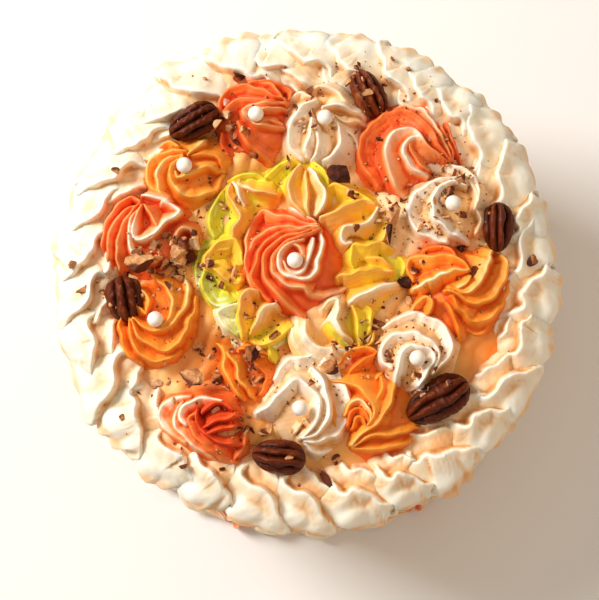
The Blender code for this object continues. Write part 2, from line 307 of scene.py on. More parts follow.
cream = icingFinish("creamIcing", (
    (0.00, (0.66, 0.28, 0.08)), (0.28, (0.83, 0.46, 0.20)), (0.58, (0.91, 0.67, 0.42)),
    (0.80, (0.94, 0.81, 0.62)), (1.0, (0.97, 0.91, 0.79))), 0.42)
petal = icingFinish("petalCream", (
    (0.00, (0.62, 0.26, 0.06)), (0.28, (0.82, 0.46, 0.18)), (0.55, (0.91, 0.66, 0.41)),
    (0.80, (0.94, 0.80, 0.63)), (1.0, (0.96, 0.88, 0.77))), 0.42)
coral = icingFinish("coralIcing", (
    (0.00, (0.52, 0.02, 0.004)), (0.26, (0.80, 0.085, 0.012)), (0.50, (0.90, 0.20, 0.035)),
    (0.72, (0.94, 0.38, 0.14)), (0.88, (0.95, 0.58, 0.38)), (1.0, (0.96, 0.80, 0.65))), 0.44, dust=0.5)
orange = icingFinish("orangeIcing", (
    (0.00, (0.62, 0.07, 0.004)), (0.26, (0.86, 0.17, 0.012)), (0.50, (0.92, 0.28, 0.022)),
    (0.74, (0.94, 0.40, 0.06)), (0.92, (0.95, 0.58, 0.21)), (1.0, (0.96, 0.76, 0.48))), 0.40, dust=0.5)
leafy = icingFinish("leafIcing", (
    (0.02, (0.86, 0.87, 0.56)), (0.13, (0.52, 0.54, 0.045)), (0.27, (0.84, 0.68, 0.040)),
    (0.44, (0.97, 0.62, 0.045)), (0.64, (0.94, 0.46, 0.07)), (0.84, (0.94, 0.61, 0.28)),
    (1.0, (0.96, 0.84, 0.66))), 0.20, dust=0.5)
bedIcing = icingFinish("bedIcing", (
    (0.00, (0.66, 0.08, 0.010)), (0.25, (0.85, 0.25, 0.025)), (0.50, (0.90, 0.46, 0.13)),
    (0.75, (0.92, 0.64, 0.34)), (1.0, (0.94, 0.80, 0.58))), 0.30)
icings = {"cream_icing": petal, "coral_icing": coral, "orange_icing": orange}
print("finishes made")


# the cake under the dressing: a smooth body with shallow strokes
cake = {"steps": 180, "sideRings": 30, "edgeRings": 8, "topRings": 40, "edge": 5.0 * mm, "inset": 0.2 * mm,
        "stroke": 0.35 * mm, "tone": 0.60, "toneStroke": 0.04}


def frostedBody():
    middle, size = place("cake_body")
    radius = size[0] / 2
    height = size[2]
    profile = [(radius * share, 0.0) for share in (0.02, 0.5, 0.9)]
    upwards = np.linspace(0.0, 0.93, cake["sideRings"])
    profile += [(radius - cake["inset"], height * share) for share in upwards]
    for angle in np.linspace(0.0, math.pi / 2, cake["edgeRings"]):
        profile.append((radius - cake["edge"] * (1.0 - math.cos(angle)),
                        height - cake["edge"] * (1.0 - math.sin(angle))))
    inwards = np.linspace(0.97, 0.01, cake["topRings"])
    profile += [((radius - cake["edge"]) * share, height) for share in inwards]
    profile = np.array(profile)
    bearing = circle(cake["steps"])
    out = np.stack([np.cos(bearing), np.sin(bearing)], axis=-1)
    rings = np.empty((len(profile), cake["steps"], 3))
    rings[..., :2] = profile[:, None, :1] * out
    rings[..., 2] = profile[:, 1:]
    # the palette knife leaves long shallow strokes on the side and the top
    stroke = waves(rings * (1.0, 1.0, 3.5), 60 * mm, 5) * 0.6
    stroke = stroke + waves(rings * (1.0, 1.0, 6.0), 25 * mm, 6) * 0.4
    upright = smooth(profile[:, 0], radius * 0.95, radius)[:, None]
    inward = cake["stroke"] * (stroke - 1.2)
    rings[..., :2] *= (1.0 + inward * upright / radius)[..., None]
    onTop = (profile[:, 1] > height * 0.97)[:, None]
    rings[..., 2] += np.where(onTop, inward * (1.0 - upright), 0.0)
    tone = cake["tone"] + cake["toneStroke"] * stroke
    piece = Piece()
    piece.addSkin(rings, tone, 0.4)
    dress("frostedCake", piece.mesh("frostedCake", cream), "cream_icing", "cake_body")


frostedBody()


# in mm; ground is the tone far from every tint, and weight how much it counts
bed = {"radius": 87.0, "thick": 3.0, "rise": 2.2, "tuck": 2.0, "rings": 110, "around": 300, "ground": 0.6,
       "weight": 0.15, "heaps": (26.0, 13.0)}
# what colour the icing between the flowers takes: x, y, spread in mm, tone
bedTints = (
    (-26, -42, 14, 0.10), (24, -40, 14, 0.12), (24, -58, 18, 0.28), (-42, -58, 16, 0.30),
    (64, -16, 18, 0.22), (60, -34, 12, 0.50), (-46, -22, 14, 0.34), (-50, 2, 12, 0.24), (-60, -44, 12, 0.55),
    (34, 8, 12, 0.66), (34, 36, 12, 0.68), (2, 74, 22, 0.62), (-36, 42, 12, 0.42), (-64, 42, 12, 0.62),
    (-66, -10, 14, 0.45), (66, 30, 14, 0.62), (-20, 52, 14, 0.40), (10, -72, 18, 0.45), (44, 72, 16, 0.80),
    (74, 10, 14, 0.62), (-20, -26, 10, 0.30), (40, -2, 10, 0.52), (-75, 22, 12, 0.60), (-38, -32, 8, 0.08),
    (-52, -36, 7, 0.30), (74, -30, 10, 0.20),
)


def icingBed():
    share = np.linspace(1.0, 0.005, bed["rings"])[:, None]
    bearing = circle(bed["around"])[None, :]
    rings = np.empty((bed["rings"], bed["around"], 3))
    rings[..., 0] = share * bed["radius"] * mm * np.cos(bearing)
    rings[..., 1] = share * bed["radius"] * mm * np.sin(bearing)
    rings[..., 2] = deck
    big, small = bed["heaps"]
    heap = waves(rings, big * mm, 31) + 0.7 * np.abs(waves(rings, small * mm, 32)) ** 0.7
    thin = smooth(-share, -1.0, -0.95) * mix(1.0, 0.35, smooth(share, 0.80, 0.92))
    rings[..., 2] = deck + (bed["thick"] + bed["rise"] * heap) * mm * thin
    rings[0, :, 2] = deck - bed["tuck"] * mm
    weight = np.full(rings.shape[:2], bed["weight"])
    tone = weight * bed["ground"]
    for x, y, spread, tint in bedTints:
        near = np.exp(-((rings[..., 0] / mm - x) ** 2 + (rings[..., 1] / mm - y) ** 2) / spread ** 2)
        weight += near
        tone += near * tint
    piece = Piece()
    # higher heaps are painted paler and dips deeper through the crest value: painted highlight and painted
    # shade
    piece.addSkin(rings, tone / weight, 0.5 + 0.3 * np.tanh(heap))
    dress("icingBed", piece.mesh("icingBed", bedIcing), "cream_icing")


icingBed()
print("body frosted")


def through(points, pace):
    # an even walk along a smooth curve through the points, which may carry x, y and more
    points = np.array(points, float)
    ends = [2 * points[0] - points[1], *points, 2 * points[-1] - points[-2]]
    walk = []
    for before, first, second, after in zip(ends, ends[1:], ends[2:], ends[3:]):
        share = np.linspace(0.0, 1.0, 24, endpoint=False)[:, None]
        bend = (second - before) * share + (2 * before - 5 * first + 4 * second - after) * share ** 2
        walk.append(first + 0.5 * (bend + (3 * first - before - 3 * second + after) * share ** 3))
    walk = np.concatenate([*walk, points[-1:]])
    gone = np.concatenate([[0.0], np.cumsum(np.linalg.norm(np.diff(walk[:, :2], axis=0), axis=1))])
    even = np.linspace(0.0, gone[-1], max(int(gone[-1] / pace), 12))
    return np.stack([np.interp(even, gone, column) for column in walk.T], axis=-1)


# The flowers and leaves are skins drawn by their folds: at each place the skin lies as high as the
# highest fold there. A fold has a thin lip along its path, a face to its left that sinks slowly and a
# cliff to its right. All in mm, with levels over the deck.
# pace and around set the mesh, start is how narrow a fold begins, fade how far its tone reaches,
# glint is a painted highlight along each lip, the hollow value is painted shade in the hollows and back
# a painted highlight on the backs, skirt is the lowest level
skinLook = {
    "pace": 0.36, "around": 10.0, "nearby": (3, 5), "skirt": -1.6,
    "lip": 1.0, "lipIn": 1.6, "lipOut": 0.55, "sink": 4.0, "cliff": 9.0, "round": 0.45, "soft": 0.30,
    "sway": 0.40, "ripple": 0.30, "start": 0.30, "fade": 1.0,
    "glint": 0.03, "valley": 0.26, "back": 0.03, "bodyTone": -0.03, "streak": 0.06,
}
# what all folds share: lengths of the uneven waves along them in mm, where they grow and end,
# and how their slopes and tones fall away
foldShape = {
    "step": 0.5, "swayLength": 9.0, "rippleLength": 7.0, "glintLength": 14.0, "glintWidth": 0.9,
    "grainLength": 1.7, "grainStretch": 0.06, "grainRise": 1.4, "grown": 0.30, "endFrom": 0.86,
    "endWidth": 0.6, "sinkPower": 1.3, "cliffSlope": 0.9, "cliffPace": 1.6, "fadeOut": 0.35,
    "fadePower": 1.25,
}
# how bodies and bowls are rounded, the uneven waves over a whole skin, and how far it is drawn
skinShape = {
    "lowest": -6.0, "domePower": 2.2, "domeFall": 30.0, "bowlSlope": 1.3, "bowlFlat": 2.2,
    "swell": 0.22, "swellLength": 8.0, "lumps": 0.07, "lumpLength": 2.6, "margin": 5.0, "beyond": 4.0,
}


def foldOver(spots, item, look, seed):
    # level of one fold over the spots, and its tone against that of the flower
    walk = through(item["path"], foldShape["step"])
    path, top = walk[:, :2], walk[:, 2]
    tangent = np.gradient(path, axis=0)
    tangent /= np.linalg.norm(tangent, axis=1)[:, None]
    side = np.stack([tangent[:, 1], -tangent[:, 0]], axis=-1)
    path = path + side * look["sway"] * waves(walk, foldShape["swayLength"], seed)[:, None]
    top = top + look["ripple"] * waves(walk, foldShape["rippleLength"], seed + 1)
    share = np.linspace(0.0, 1.0, len(path))
    apart = (spots[:, None, 0] - path[None, :, 0]) ** 2 + (spots[:, None, 1] - path[None, :, 1]) ** 2
    nearest = apart.argmin(axis=1)
    gap = spots - path[nearest]
    across = (gap * side[nearest]).sum(axis=1)
    along = (gap * tangent[nearest]).sum(axis=1) * ((nearest == 0) | (nearest == len(path) - 1))
    distance = np.sqrt(across ** 2 + along ** 2 + look["round"] ** 2) - look["round"]
    grown = mix(look["start"], 1.0, smooth(share, 0.0, foldShape["grown"]))
    grown = grown * mix(1.0, foldShape["endWidth"], smooth(share, foldShape["endFrom"], 1.0))
    inner = item["inner"] * grown[nearest]
    outer = item["outer"] * grown[nearest]
    face = look["lip"] * (1.0 - np.exp(-distance / look["lipIn"]))
    face += look["sink"] * (distance / inner) ** foldShape["sinkPower"]
    cliff = look["lip"] * (1.0 - np.exp(-distance / look["lipOut"]))
    cliff += foldShape["cliffSlope"] * np.maximum(distance - outer, 0.0)
    cliff += look["cliff"] * (1.0 - np.exp(-foldShape["cliffPace"] * distance / outer))
    drop = np.where(across < 0.0, face, cliff)
    ended = np.abs(along) / (np.abs(along) + np.abs(across) + 0.01)
    drop = mix(drop, cliff, ended)
    tones = np.interp(share, np.linspace(0.0, 1.0, np.size(item["tone"])), np.atleast_1d(item["tone"]))
    reach = np.where(across < 0.0, look["fade"] * inner, foldShape["fadeOut"] * outer)
    lasting = np.exp(-(distance / reach) ** foldShape["fadePower"])
    ribbon = np.stack([across, share[nearest] * len(path) * foldShape["grainStretch"], 0 * across], axis=-1)
    streak = waves(ribbon, foldShape["grainLength"], seed + 2)
    glint = look["glint"] * (1.0 + 0.9 * waves(walk, foldShape["glintLength"], seed + 3))[nearest]
    tone = (tones[nearest] - item["ground"]) * lasting + glint * np.exp(-distance / foldShape["glintWidth"])
    tone += look["streak"] * streak
    grain = foldShape["grainRise"] * look["streak"] * streak * np.minimum(distance, 1.0)
    return top[nearest] - drop + grain, tone


def layFolds(spots, ground, folds, look, seed, bodies, bowl):
    # level and tone over the spots
    levels, tones = [np.full(len(spots), skinShape["lowest"])], [np.zeros(len(spots))]
    for x, y, wide, deep, height, *shape in bodies:
        turn, power = shape or (0.0, 2.0)
        along = (spots[:, 0] - x) * math.cos(turn) + (spots[:, 1] - y) * math.sin(turn)
        across = (spots[:, 1] - y) * math.cos(turn) - (spots[:, 0] - x) * math.sin(turn)
        far = (np.abs(along / wide) ** power + np.abs(across / deep) ** power) ** (1.0 / power)
        dome = height * np.sqrt(np.maximum(1.0 - far ** skinShape["domePower"], 0.0))
        levels.append(dome - skinShape["domeFall"] * np.maximum(far - 1.0, 0.0))
        tones.append(np.full(len(spots), look["bodyTone"]))
    for number, item in enumerate(folds):
        level, tone = foldOver(spots, {**item, "ground": ground}, look, seed + 5 * number)
        levels.append(level)
        tones.append(tone)
    levels, tones = np.array(levels), np.array(tones)
    highest = levels.max(axis=0)
    weight = np.exp((levels - highest) / look["soft"])
    level = highest + look["soft"] * np.log(weight.sum(axis=0))
    tone = ground + (tones * weight).sum(axis=0) / weight.sum(axis=0)
    if bowl is not None:
        x, y, seat = bowl
        far = np.hypot(spots[:, 0] - x, spots[:, 1] - y)
        rise = skinShape["bowlSlope"] * np.maximum(far - skinShape["bowlFlat"], 0.0)
        level = np.minimum(level, seat + rise)
    flat = np.stack([spots[:, 0], spots[:, 1], 0 * level], axis=-1)
    swell = skinShape["swell"] * waves(flat, skinShape["swellLength"], seed + 901)
    level += swell + skinShape["lumps"] * waves(flat, skinShape["lumpLength"], seed + 902)
    return level, tone


def icingSkin(name, material, ground, folds, look, seed, bodies, bowl=None, under=deck):
    # folds carry path (x, y, level), inner, outer and tone; a body is (x, y, reach along, reach across,
    # height), sometimes with (turn, power); bowl is (x, y, level); ground gives the tone between the folds
    paths = np.concatenate([item["path"][:, :2] for item in folds])
    low, high = paths.min(axis=0) - skinShape["margin"], paths.max(axis=0) + skinShape["margin"]
    middle = (low + high) / 2
    reach = np.linalg.norm(paths - middle, axis=1).max() + skinShape["beyond"]
    rings, around = int(reach / look["pace"]), int(reach * look["around"])
    bearing = circle(around)
    out = np.stack([np.cos(bearing), np.sin(bearing)], axis=-1)
    radii = np.linspace(reach, 0.05, rings)[:, None] * np.ones(around)

    def measure():
        spots = (middle + radii[..., None] * out).reshape(-1, 2)
        level, tone = layFolds(spots, ground(spots), folds, look, seed, bodies, bowl)
        return spots.reshape(rings, around, 2), level.reshape(rings, around), tone.reshape(rings, around)

    spots, level, tone = measure()
    if "trim" in look:
        # pull the rim in to where the icing meets the cake
        rim = np.array([radii[np.argmax(level[:, step] > look["trim"]), step] for step in range(around)])
        rim = sum(np.roll(rim, shift) for shift in (-1, 0, 1)) / 3
        radii = radii / reach * rim
        spots, level, tone = measure()
    level = np.maximum(level, look["skirt"])
    # painted shade: hollows are painted deeper in tone; painted highlight: backs are painted paler
    close, far = look["nearby"]
    padded = np.pad(level, ((far, far), (0, 0)), "edge")
    nearby = [np.roll(level, shift, axis=1) for shift in (-far, -close, close, far)]
    nearby += [padded[far + shift:far + shift + rings] for shift in (-far, -close, close, far)]
    proud = np.tanh((level - sum(nearby) / 8) / 0.8)
    tone = tone + np.where(proud < 0.0, look["valley"] * smooth(level, 0.5, 4.5), look["back"]) * proud
    skin = np.concatenate([spots, level[..., None]], axis=-1)
    skin = np.concatenate([skin[:1], skin])
    skin[0, :, 2] = look["skirt"] - 0.4
    skin *= mm
    skin[..., 2] += under
    piece = Piece()
    piece.addSkin(skin, np.concatenate([tone[:1], tone]), 0.5)
    return piece.mesh(name, material)


# A rosette is a low mound with folds on it. Folds run from where the nozzle was lifted, against the
# clock; each gives its tone, how far its faces reach inwards and outwards, how much it is raised, and
# the x, y it passes, all in mm. at is the middle of that sketch, which is laid on the pearl or the eye.
def ridge(tone, inner, outer, lift, *points):
    return {"tone": tone, "inner": inner, "outer": outer, "lift": lift, "points": points}


rosettes = {
    "rosette_centre": dict(at=(-6.6, 5.2), pearl="pearl_1", radius=23, height=20.5, mound=(22, 22),
        tone=(0.62, 0.44), folds=(
        ridge(0.62, 4.5, 2.5, 0.5, (3, 21), (-5, 22.3), (-13, 25), (-20, 27.2), (-24.5, 23), (-26.5, 16),
              (-27, 8), (-26.5, 0), (-24, -6)),
        ridge(0.66, 4, 2.4, 0.5, (3.5, 20.5), (-5, 19.6), (-13, 19.8), (-19.5, 17.6), (-24, 14.2), (-26, 9)),
        ridge(0.45, 3.4, 2.0, 0.4, (4, 20), (-4, 18.6), (-12, 17.3), (-17.5, 14.6), (-21.5, 10.5),
              (-22.2, 5.5), (-24.2, 1.5), (-23.6, -3.6), (-21, -7.4), (-17, -11)),
        ridge(0.55, 3.4, 2.0, 0.2, (4, 19.5), (-3, 17.4), (-9.6, 16.1), (-14.7, 13), (-18, 9),
              (-19.5, 4.5), (-19, -1.2), (-16, -5.5), (-12, -10), (-8, -14), (-3, -18)),
        ridge((0.5, 0.6, 0.7, 0.85), 3.6, 1.9, 0.2, (3, 18.5), (-3, 16), (-9, 13.6), (-14, 9.8),
              (-16.2, 5), (-15.6, 1), (-12.2, -3), (-8, -5.6), (-3, -6.3), (1, -8.6), (8.4, -8.3),
              (16.5, -5)),
        ridge((0.75, 0.95, 1.0, 1.0), 2.6, 1.8, 0.2, (-3, 14.6), (-8, 12.6), (-12.6, 9.6), (-13.7, 4.7),
              (-11.6, 0.3), (-6.5, -2), (-0.8, -2.2), (1.9, 0.3), (2.9, 5), (4.8, 11), (4.4, 17.5)),
        ridge((0.8, 0.95, 0.95), 2.2, 1.6, 0.0, (-11.5, 5), (-10, 1.6), (-6.4, 0.2), (-2.4, 1.2),
              (-0.7, 5.3), (0, 10), (1, 14.8)),
        ridge(0.70, 2.0, 1.6, -0.6, (-9.5, 12.3), (-6, 11.6), (-3.8, 9.4), (-3.2, 5.6)),
        ridge((0.7, 0.95, 1.0), 2.4, 2.4, 0.2, (2, 22), (-2, 24.6), (-6, 27.6), (-9.5, 30.6), (-10.6, 32.4)),
    )),
    "rosette_1": dict(at=(-21.5, 64.5), pearl="pearl_2", radius=18, height=17.5, mound=(16.5, 15.5),
        tone=(0.50, 0.40), folds=(
        ridge(0.40, 4, 2.5, 0.3, (-8, 71.5), (-7, 76), (-12, 79), (-18, 80), (-25, 79.6)),
        ridge(0.50, 3, 2, 0.4, (-9, 71.5), (-12, 75), (-15, 78), (-20, 79)),
        ridge(0.52, 4.5, 2.5, 0.6, (-9, 71.5), (-15, 73.4), (-20, 76), (-25.5, 77.8), (-31, 77.4),
              (-35.6, 74.6), (-37.4, 71), (-37, 66.5)),
        ridge(0.48, 4.5, 2.5, 0.5, (-8, 70.5), (-16.5, 70.8), (-23, 71.6), (-28.8, 71.2), (-33.5, 69),
              (-36.5, 65.4)),
        ridge((0.5, 0.75, 0.7, 0.55), 3.4, 2.2, 0.3, (-9, 69.5), (-17.8, 69.7), (-23.3, 69), (-26.4, 66.5),
              (-25, 63.6), (-21.9, 61), (-17.8, 59.7), (-9.6, 59.2)),
        ridge(0.66, 2.4, 1.8, 0.0, (-9, 67.5), (-16.5, 67.6), (-21.2, 67.3), (-23.2, 65), (-21.2, 62.4),
              (-17, 61.7), (-11, 61.2)),
        ridge(0.45, 6, 2.5, 0.2, (-29, 62), (-27.2, 56.2), (-23.3, 51.4), (-18.5, 47.5), (-13.5, 44.9)),
        ridge(0.36, 5, 2.5, -0.5, (-37, 58), (-35, 50.7), (-31, 45.5), (-25, 43.5)),
    )),
    "rosette_2": dict(at=(6.4, 65.7), pearl="pearl_3", radius=18.5, height=18, mound=(15, 15),
        tone=(0.34, 0.44), folds=(
        ridge((0.8, 0.95, 0.85), 6.5, 4.0, 0.5, (3, 73.5), (-3, 71.4), (-7, 66), (-9, 60), (-7.5, 53.5),
              (-3, 49.5)),
        ridge(0.9, 4.0, 3.0, 0.3, (1, 66), (0.5, 61), (-0.5, 56), (-1.5, 51)),
        ridge((0.8, 0.9, 0.8), 4, 2.6, 0.2, (3, 62.4), (3.8, 57), (3.5, 52.5), (1, 49.6)),
        ridge((0.6, 0.9, 0.8), 4.5, 2.6, 0.2, (9.5, 65), (12.3, 61.5), (12.8, 57), (10.5, 52), (5.5, 49.6)),
        ridge((0.7, 0.75, 0.6), 3.4, 2.4, 0.3, (5.8, 70.2), (10.5, 71.2), (15.4, 70), (20.8, 68.5),
              (23, 66.3)),
        ridge((0.5, 0.45, 0.4), 3.0, 2.4, -0.5, (10.6, 66.4), (15.4, 64.2), (20.8, 65), (24, 63)),
        ridge((0.7, 0.55, 0.45), 3.4, 2.4, 0.2, (3, 79.5), (8, 79), (12, 76.6), (15, 73.6), (19.5, 71)),
        ridge(0.6, 3.4, 2.4, -1.0, (1, 76), (-4, 77.6), (-8.5, 75.5), (-10, 71)),
        ridge((0.8, 0.6, 0.35), 3.6, 2.4, -1.5, (10, 63), (16, 60.5), (19.5, 56), (20.5, 50.5), (17, 47)),
    )),
    "rosette_3": dict(at=(43.7, 53.8), radius=23, height=18, mound=(18.5, 17.5),
        tone=(0.60, 0.46), bowl=12.0, folds=(
        ridge((0.5, 0.85, 0.75), 4.5, 2.5, 0.0, (61, 49), (57.5, 55), (55, 60.3), (51.6, 66.3), (47.3, 70),
              (42, 71.6), (36, 71)),
        ridge(0.42, 9.0, 3.0, 0.6, (60, 48.6), (54.5, 54), (52.4, 58.5), (48.8, 63.8), (44, 68),
              (38.6, 69.6), (32.4, 68.2), (27, 64.4), (22.9, 59), (21.4, 53.4), (22.3, 47.3), (25.8, 42.5),
              (29.5, 38)),
        ridge((0.4, 0.9, 0.85, 0.7), 6.0, 2.4, 1.2, (58, 48.4), (50.5, 53.5), (46.8, 59), (43.4, 61.3),
              (38.6, 61), (34.5, 58), (32.4, 53.5), (32.4, 48.6), (33.9, 43), (36.6, 37.7), (40, 33)),
        ridge((0.5, 0.95, 1.0, 0.85), 3.4, 2.2, 0.8, (55, 49), (48.5, 55.4), (45.4, 57.6), (42, 57.2),
              (39.7, 54), (39.8, 50), (42, 46), (45.4, 43.2), (49.5, 41.6)),
        ridge(0.60, 2.4, 1.8, -0.4, (53, 49), (46.5, 55.2), (44, 56), (42.4, 54), (43.2, 50.7), (46, 47),
              (50, 44.5)),
        ridge(0.40, 2.6, 1.8, -0.3, (62, 47.5), (59.5, 54), (57.6, 59.5), (55.6, 63.2)),
        ridge(0.35, 2.6, 1.8, -0.6, (64, 47.5), (62, 54), (60.4, 59), (58, 65)),
    )),
    "rosette_4": dict(at=(0, 0), pearl="pearl_4", radius=19, height=19.5, mound=(16, 15.5),
        tone=(0.30, 0.48), folds=(
        ridge((0.7, 0.95, 1.0, 0.9), 3.4, 2.4, 0.2, (6, 8), (1, 9.6), (-4.5, 8), (-8, 3), (-8.6, -2.6),
              (-4.6, -8.6), (2, -13), (6.5, -15.4)),
        ridge((0.8, 0.9, 0.85), 6.0, 2.6, 0.4, (2, 12), (-6, 10.5), (-13, 6.4), (-17.4, 1), (-17.8, -4.5),
              (-14, -10.4), (-8, -13.8), (-2, -15.4)),
        ridge((0.6, 0.8, 0.9), 4.5, 2.6, 0.4, (11, 1), (11, 7), (7.5, 14.5), (1, 17.6), (-6, 18.4),
              (-13, 16), (-18, 12)),
        ridge(0.6, 3, 2.2, -0.6, (3, 12.4), (7.6, 9.4), (9.6, 4), (8.6, -2)),
        ridge(0.5, 3, 2.2, -1.2, (9, -2), (12, -6), (10, -11)),
    )),
    "rosette_5": dict(at=(63.5, -2.5), radius=22, height=18, mound=(18, 19),
        tone=(0.40, 0.34), bowl=11.5, folds=(
        ridge((0.5, 0.85, 0.9, 0.8), 5.0, 2.6, 1.0, (58, -5.5), (61, -6.2), (64.5, -7.2), (69.2, -5.3),
              (72.8, 0.2), (75, 5.7), (77, 11)),
        ridge((0.45, 0.62, 0.7), 7.0, 2.4, 0.8, (58, -6.5), (62, -8.5), (66.2, -11.2), (71.5, -11.5),
              (76.3, -9), (80.3, -4), (82.7, 2.3), (83.1, 7), (81, 10)),
        ridge((0.4, 0.55, 0.45), 6.0, 3.0, 0.3, (59, -8.5), (61, -11), (64.4, -15.4), (68.7, -18.3),
              (73.5, -18.2), (78.4, -14.8), (82.4, -8), (84.6, -0.5)),
        ridge((0.6, 0.9, 0.6), 2.6, 2.0, 0.4, (57, -5.8), (60, -6), (64.4, -4), (67.2, -0.6)),
        ridge((0.45, 0.6, 0.6, 0.45), 5.0, 2.4, 0.2, (67, 1.6), (64, 5.6), (59.2, 8.8), (53, 8.1),
              (47, 8.8), (42.6, 8.2), (41.8, 4), (44, -1.5)),
        ridge((0.8, 0.95, 0.9), 3.0, 3.0, 1.0, (66.5, 2.6), (60, 2), (54, 0), (48, -3), (44, -4.8)),
        ridge(0.22, 3.5, 2.4, -0.8, (62, 8), (57, 12), (51, 12.2), (47, 9.6)),
        ridge((0.5, 0.62, 0.75), 2.6, 1.8, -1.0, (48, -17.4), (50.8, -14.4), (51.2, -10.4), (48.2, -8.8),
              (44.4, -11.4), (42.6, -16)),
        ridge(0.45, 3.4, 1.8, -2.0, (56, -10.5), (57.6, -12.4), (60.6, -17), (62.9, -22.5), (63.4, -29)),
        ridge(0.40, 5.0, 3.0, -4.5, (66, -22), (70, -24), (75, -21), (79, -15)),
    )),
    "rosette_6": dict(at=(43.5, -36.3), pearl="pearl_5", radius=17.5, height=19.5, mound=(14.5, 14.5),
        tone=(0.34, 0.46), folds=(
        ridge((0.9, 1.0, 1.0, 0.9), 3.0, 2.8, 0.4, (44.3, -47.5), (47.2, -42.3), (50.5, -37.5),
              (49.8, -33.2), (45.7, -31.1), (40.9, -31.2), (36.9, -34.7), (35.5, -40), (35.2, -45.5)),
        ridge((0.8, 0.9, 0.85), 4.5, 2.4, 0.3, (51, -40), (52.4, -35), (51.2, -31), (47.8, -27.7),
              (42.3, -25.3), (36.2, -25.4), (31.4, -27.8), (29.1, -32.4), (29.5, -37), (32.5, -40.6)),
        ridge((0.7, 0.9, 0.9, 0.75), 5.5, 2.8, 0.4, (50, -42.5), (53, -40), (56.6, -36), (58.6, -29.9),
              (56.6, -23.8), (51.9, -19.7), (46.4, -17.5), (40.2, -17.2), (34.1, -20), (30, -23)),
        ridge((0.8, 0.95), 4.2, 4.0, -1.6, (43, -44.5), (43.8, -47), (44.8, -50)),
    )),
    "rosette_7": dict(at=(24.5, -56.5), radius=21, height=16, mound=(17.5, 16.5),
        tone=(0.44, 0.38), bowl=10.5, folds=(
        ridge((0.55, 0.7, 0.62), 5.0, 2.6, 0.8, (9.5, -43), (15.6, -44), (21, -47), (25.9, -52.4),
              (27, -57.6), (24.5, -61.6)),
        ridge((0.8, 0.95, 0.55), 3.0, 2.4, 0.4, (25.5, -60.4), (26, -56), (22, -51.6), (17.6, -52.6),
              (15, -57.5)),
        ridge(0.30, 2.6, 2.0, 0.2, (25, -61), (24.6, -57), (21, -54.4), (17.4, -57), (16.4, -62)),
        ridge(0.40, 2.4, 1.8, 0.2, (24, -62), (22.4, -58.6), (19.6, -58.6), (18, -63)),
        ridge((0.9, 0.62, 0.62, 0.55), 4.0, 2.6, 1.0, (18, -69.6), (22.5, -65.2), (28, -61.5),
              (31.5, -57.4), (34.2, -51.9), (35.5, -45.7), (36.4, -41)),
        ridge((0.7, 0.6, 0.5), 4.0, 2.4, 0.2, (18.6, -70), (26, -66.6), (34.8, -65.4), (42, -63),
              (47, -61.6)),
        ridge((0.6, 0.55, 0.45), 4.5, 3.0, -0.6, (18.8, -71), (26, -71.8), (33.4, -71), (40, -69),
              (45, -65)),
        ridge(0.5, 4, 2.6, -1.2, (12, -62), (11, -56), (9.5, -50), (8, -45)),
        ridge((0.5, 0.62, 0.5), 4.0, 2.4, -1.0, (30, -41.5), (30.5, -46), (29, -51), (30, -55)),
    )),
    "rosette_8": dict(at=(0, 0), pearl="pearl_6", radius=21.5, height=19.8, mound=(15.5, 17.5), off=(3, 2),
        tone=(0.40, 0.50), folds=(
        ridge((0.8, 0.9, 1.0, 1.0), 3.6, 3.0, 0.4, (0.5, -12), (4.6, -8.6), (7.8, -2.8), (8.2, 3.4),
              (5.4, 8.4), (1.6, 11), (-2, 11.4), (-5.9, 8.8), (-9.3, 5.4), (-12.8, 1.4), (-18, -1.6)),
        ridge((0.8, 0.95, 1.0), 3.6, 2.4, 0.6, (1, -12), (7.6, -10), (11.4, -4), (12, 2), (11, 7.6),
              (8.8, 12.8), (5, 16.4)),
        ridge((0.8, 0.85, 0.9, 0.9, 0.95), 8.0, 3.0, 0.2, (2, -13.6), (10.6, -12.8), (16.6, -9.6),
              (20, -4.1), (20.6, 1.6), (18.8, 8.9), (15.4, 15.6), (11.3, 20.2), (7, 22.4), (0.3, 21.6),
              (-4.6, 20.2), (-8, 17), (-10.4, 12.4)),
        ridge(0.55, 2.2, 2.0, -2.5, (0, -11), (3.4, -7.4), (2.6, -4.6)),
        ridge(0.55, 2.0, 1.8, -2.8, (-2, -10), (1, -6.6)),
        ridge(0.85, 3.0, 2.4, -2.5, (2, -14.6), (5, -17), (9, -18.6), (13, -16.6)),
    )),
    "rosette_9": dict(at=(-40.5, -60), radius=21, height=17.5, mound=(17, 16.5),
        tone=(0.20, 0.60), bowl=11.0, folds=(
        ridge((0.85, 0.95, 0.95, 0.7), 6.0, 3.0, 0.2, (-48, -49), (-54, -50.6), (-59.6, -53), (-61.4, -57),
              (-60, -61), (-56, -65), (-50, -69)),
        ridge((0.9, 1.0, 1.0), 4.0, 2.6, 1.0, (-35, -51.5), (-41, -50.4), (-47, -51.6), (-50.8, -54),
              (-51.8, -58), (-49.6, -61.5)),
        ridge((0.7, 0.9, 0.62), 5.0, 2.6, 0.0, (-51, -52), (-54, -56), (-55, -60), (-51, -66), (-45, -71),
              (-38, -75.5)),
        ridge((0.4, 0.45, 0.42, 0.5), 7.0, 3.0, 0.4, (-46, -56), (-49, -59), (-47.4, -63.6),
              (-43.8, -68.4), (-39, -72.6), (-33.4, -76.4), (-28.5, -76.6)),
        ridge(0.16, 3.0, 2.2, 0.2, (-45, -55), (-45.6, -60), (-42, -65), (-37, -68.6), (-30, -69.6),
              (-25, -69)),
        ridge(0.20, 3.0, 2.2, 0.6, (-42.6, -62), (-37, -60.4), (-32, -58.6), (-29.5, -57.5)),
        ridge(0.14, 3.0, 2.2, 0.6, (-43, -57), (-39, -53.2), (-35, -52.6), (-31, -55)),
        ridge(0.24, 2.6, 2.0, 0.2, (-41, -65), (-36, -63.4), (-30, -62)),
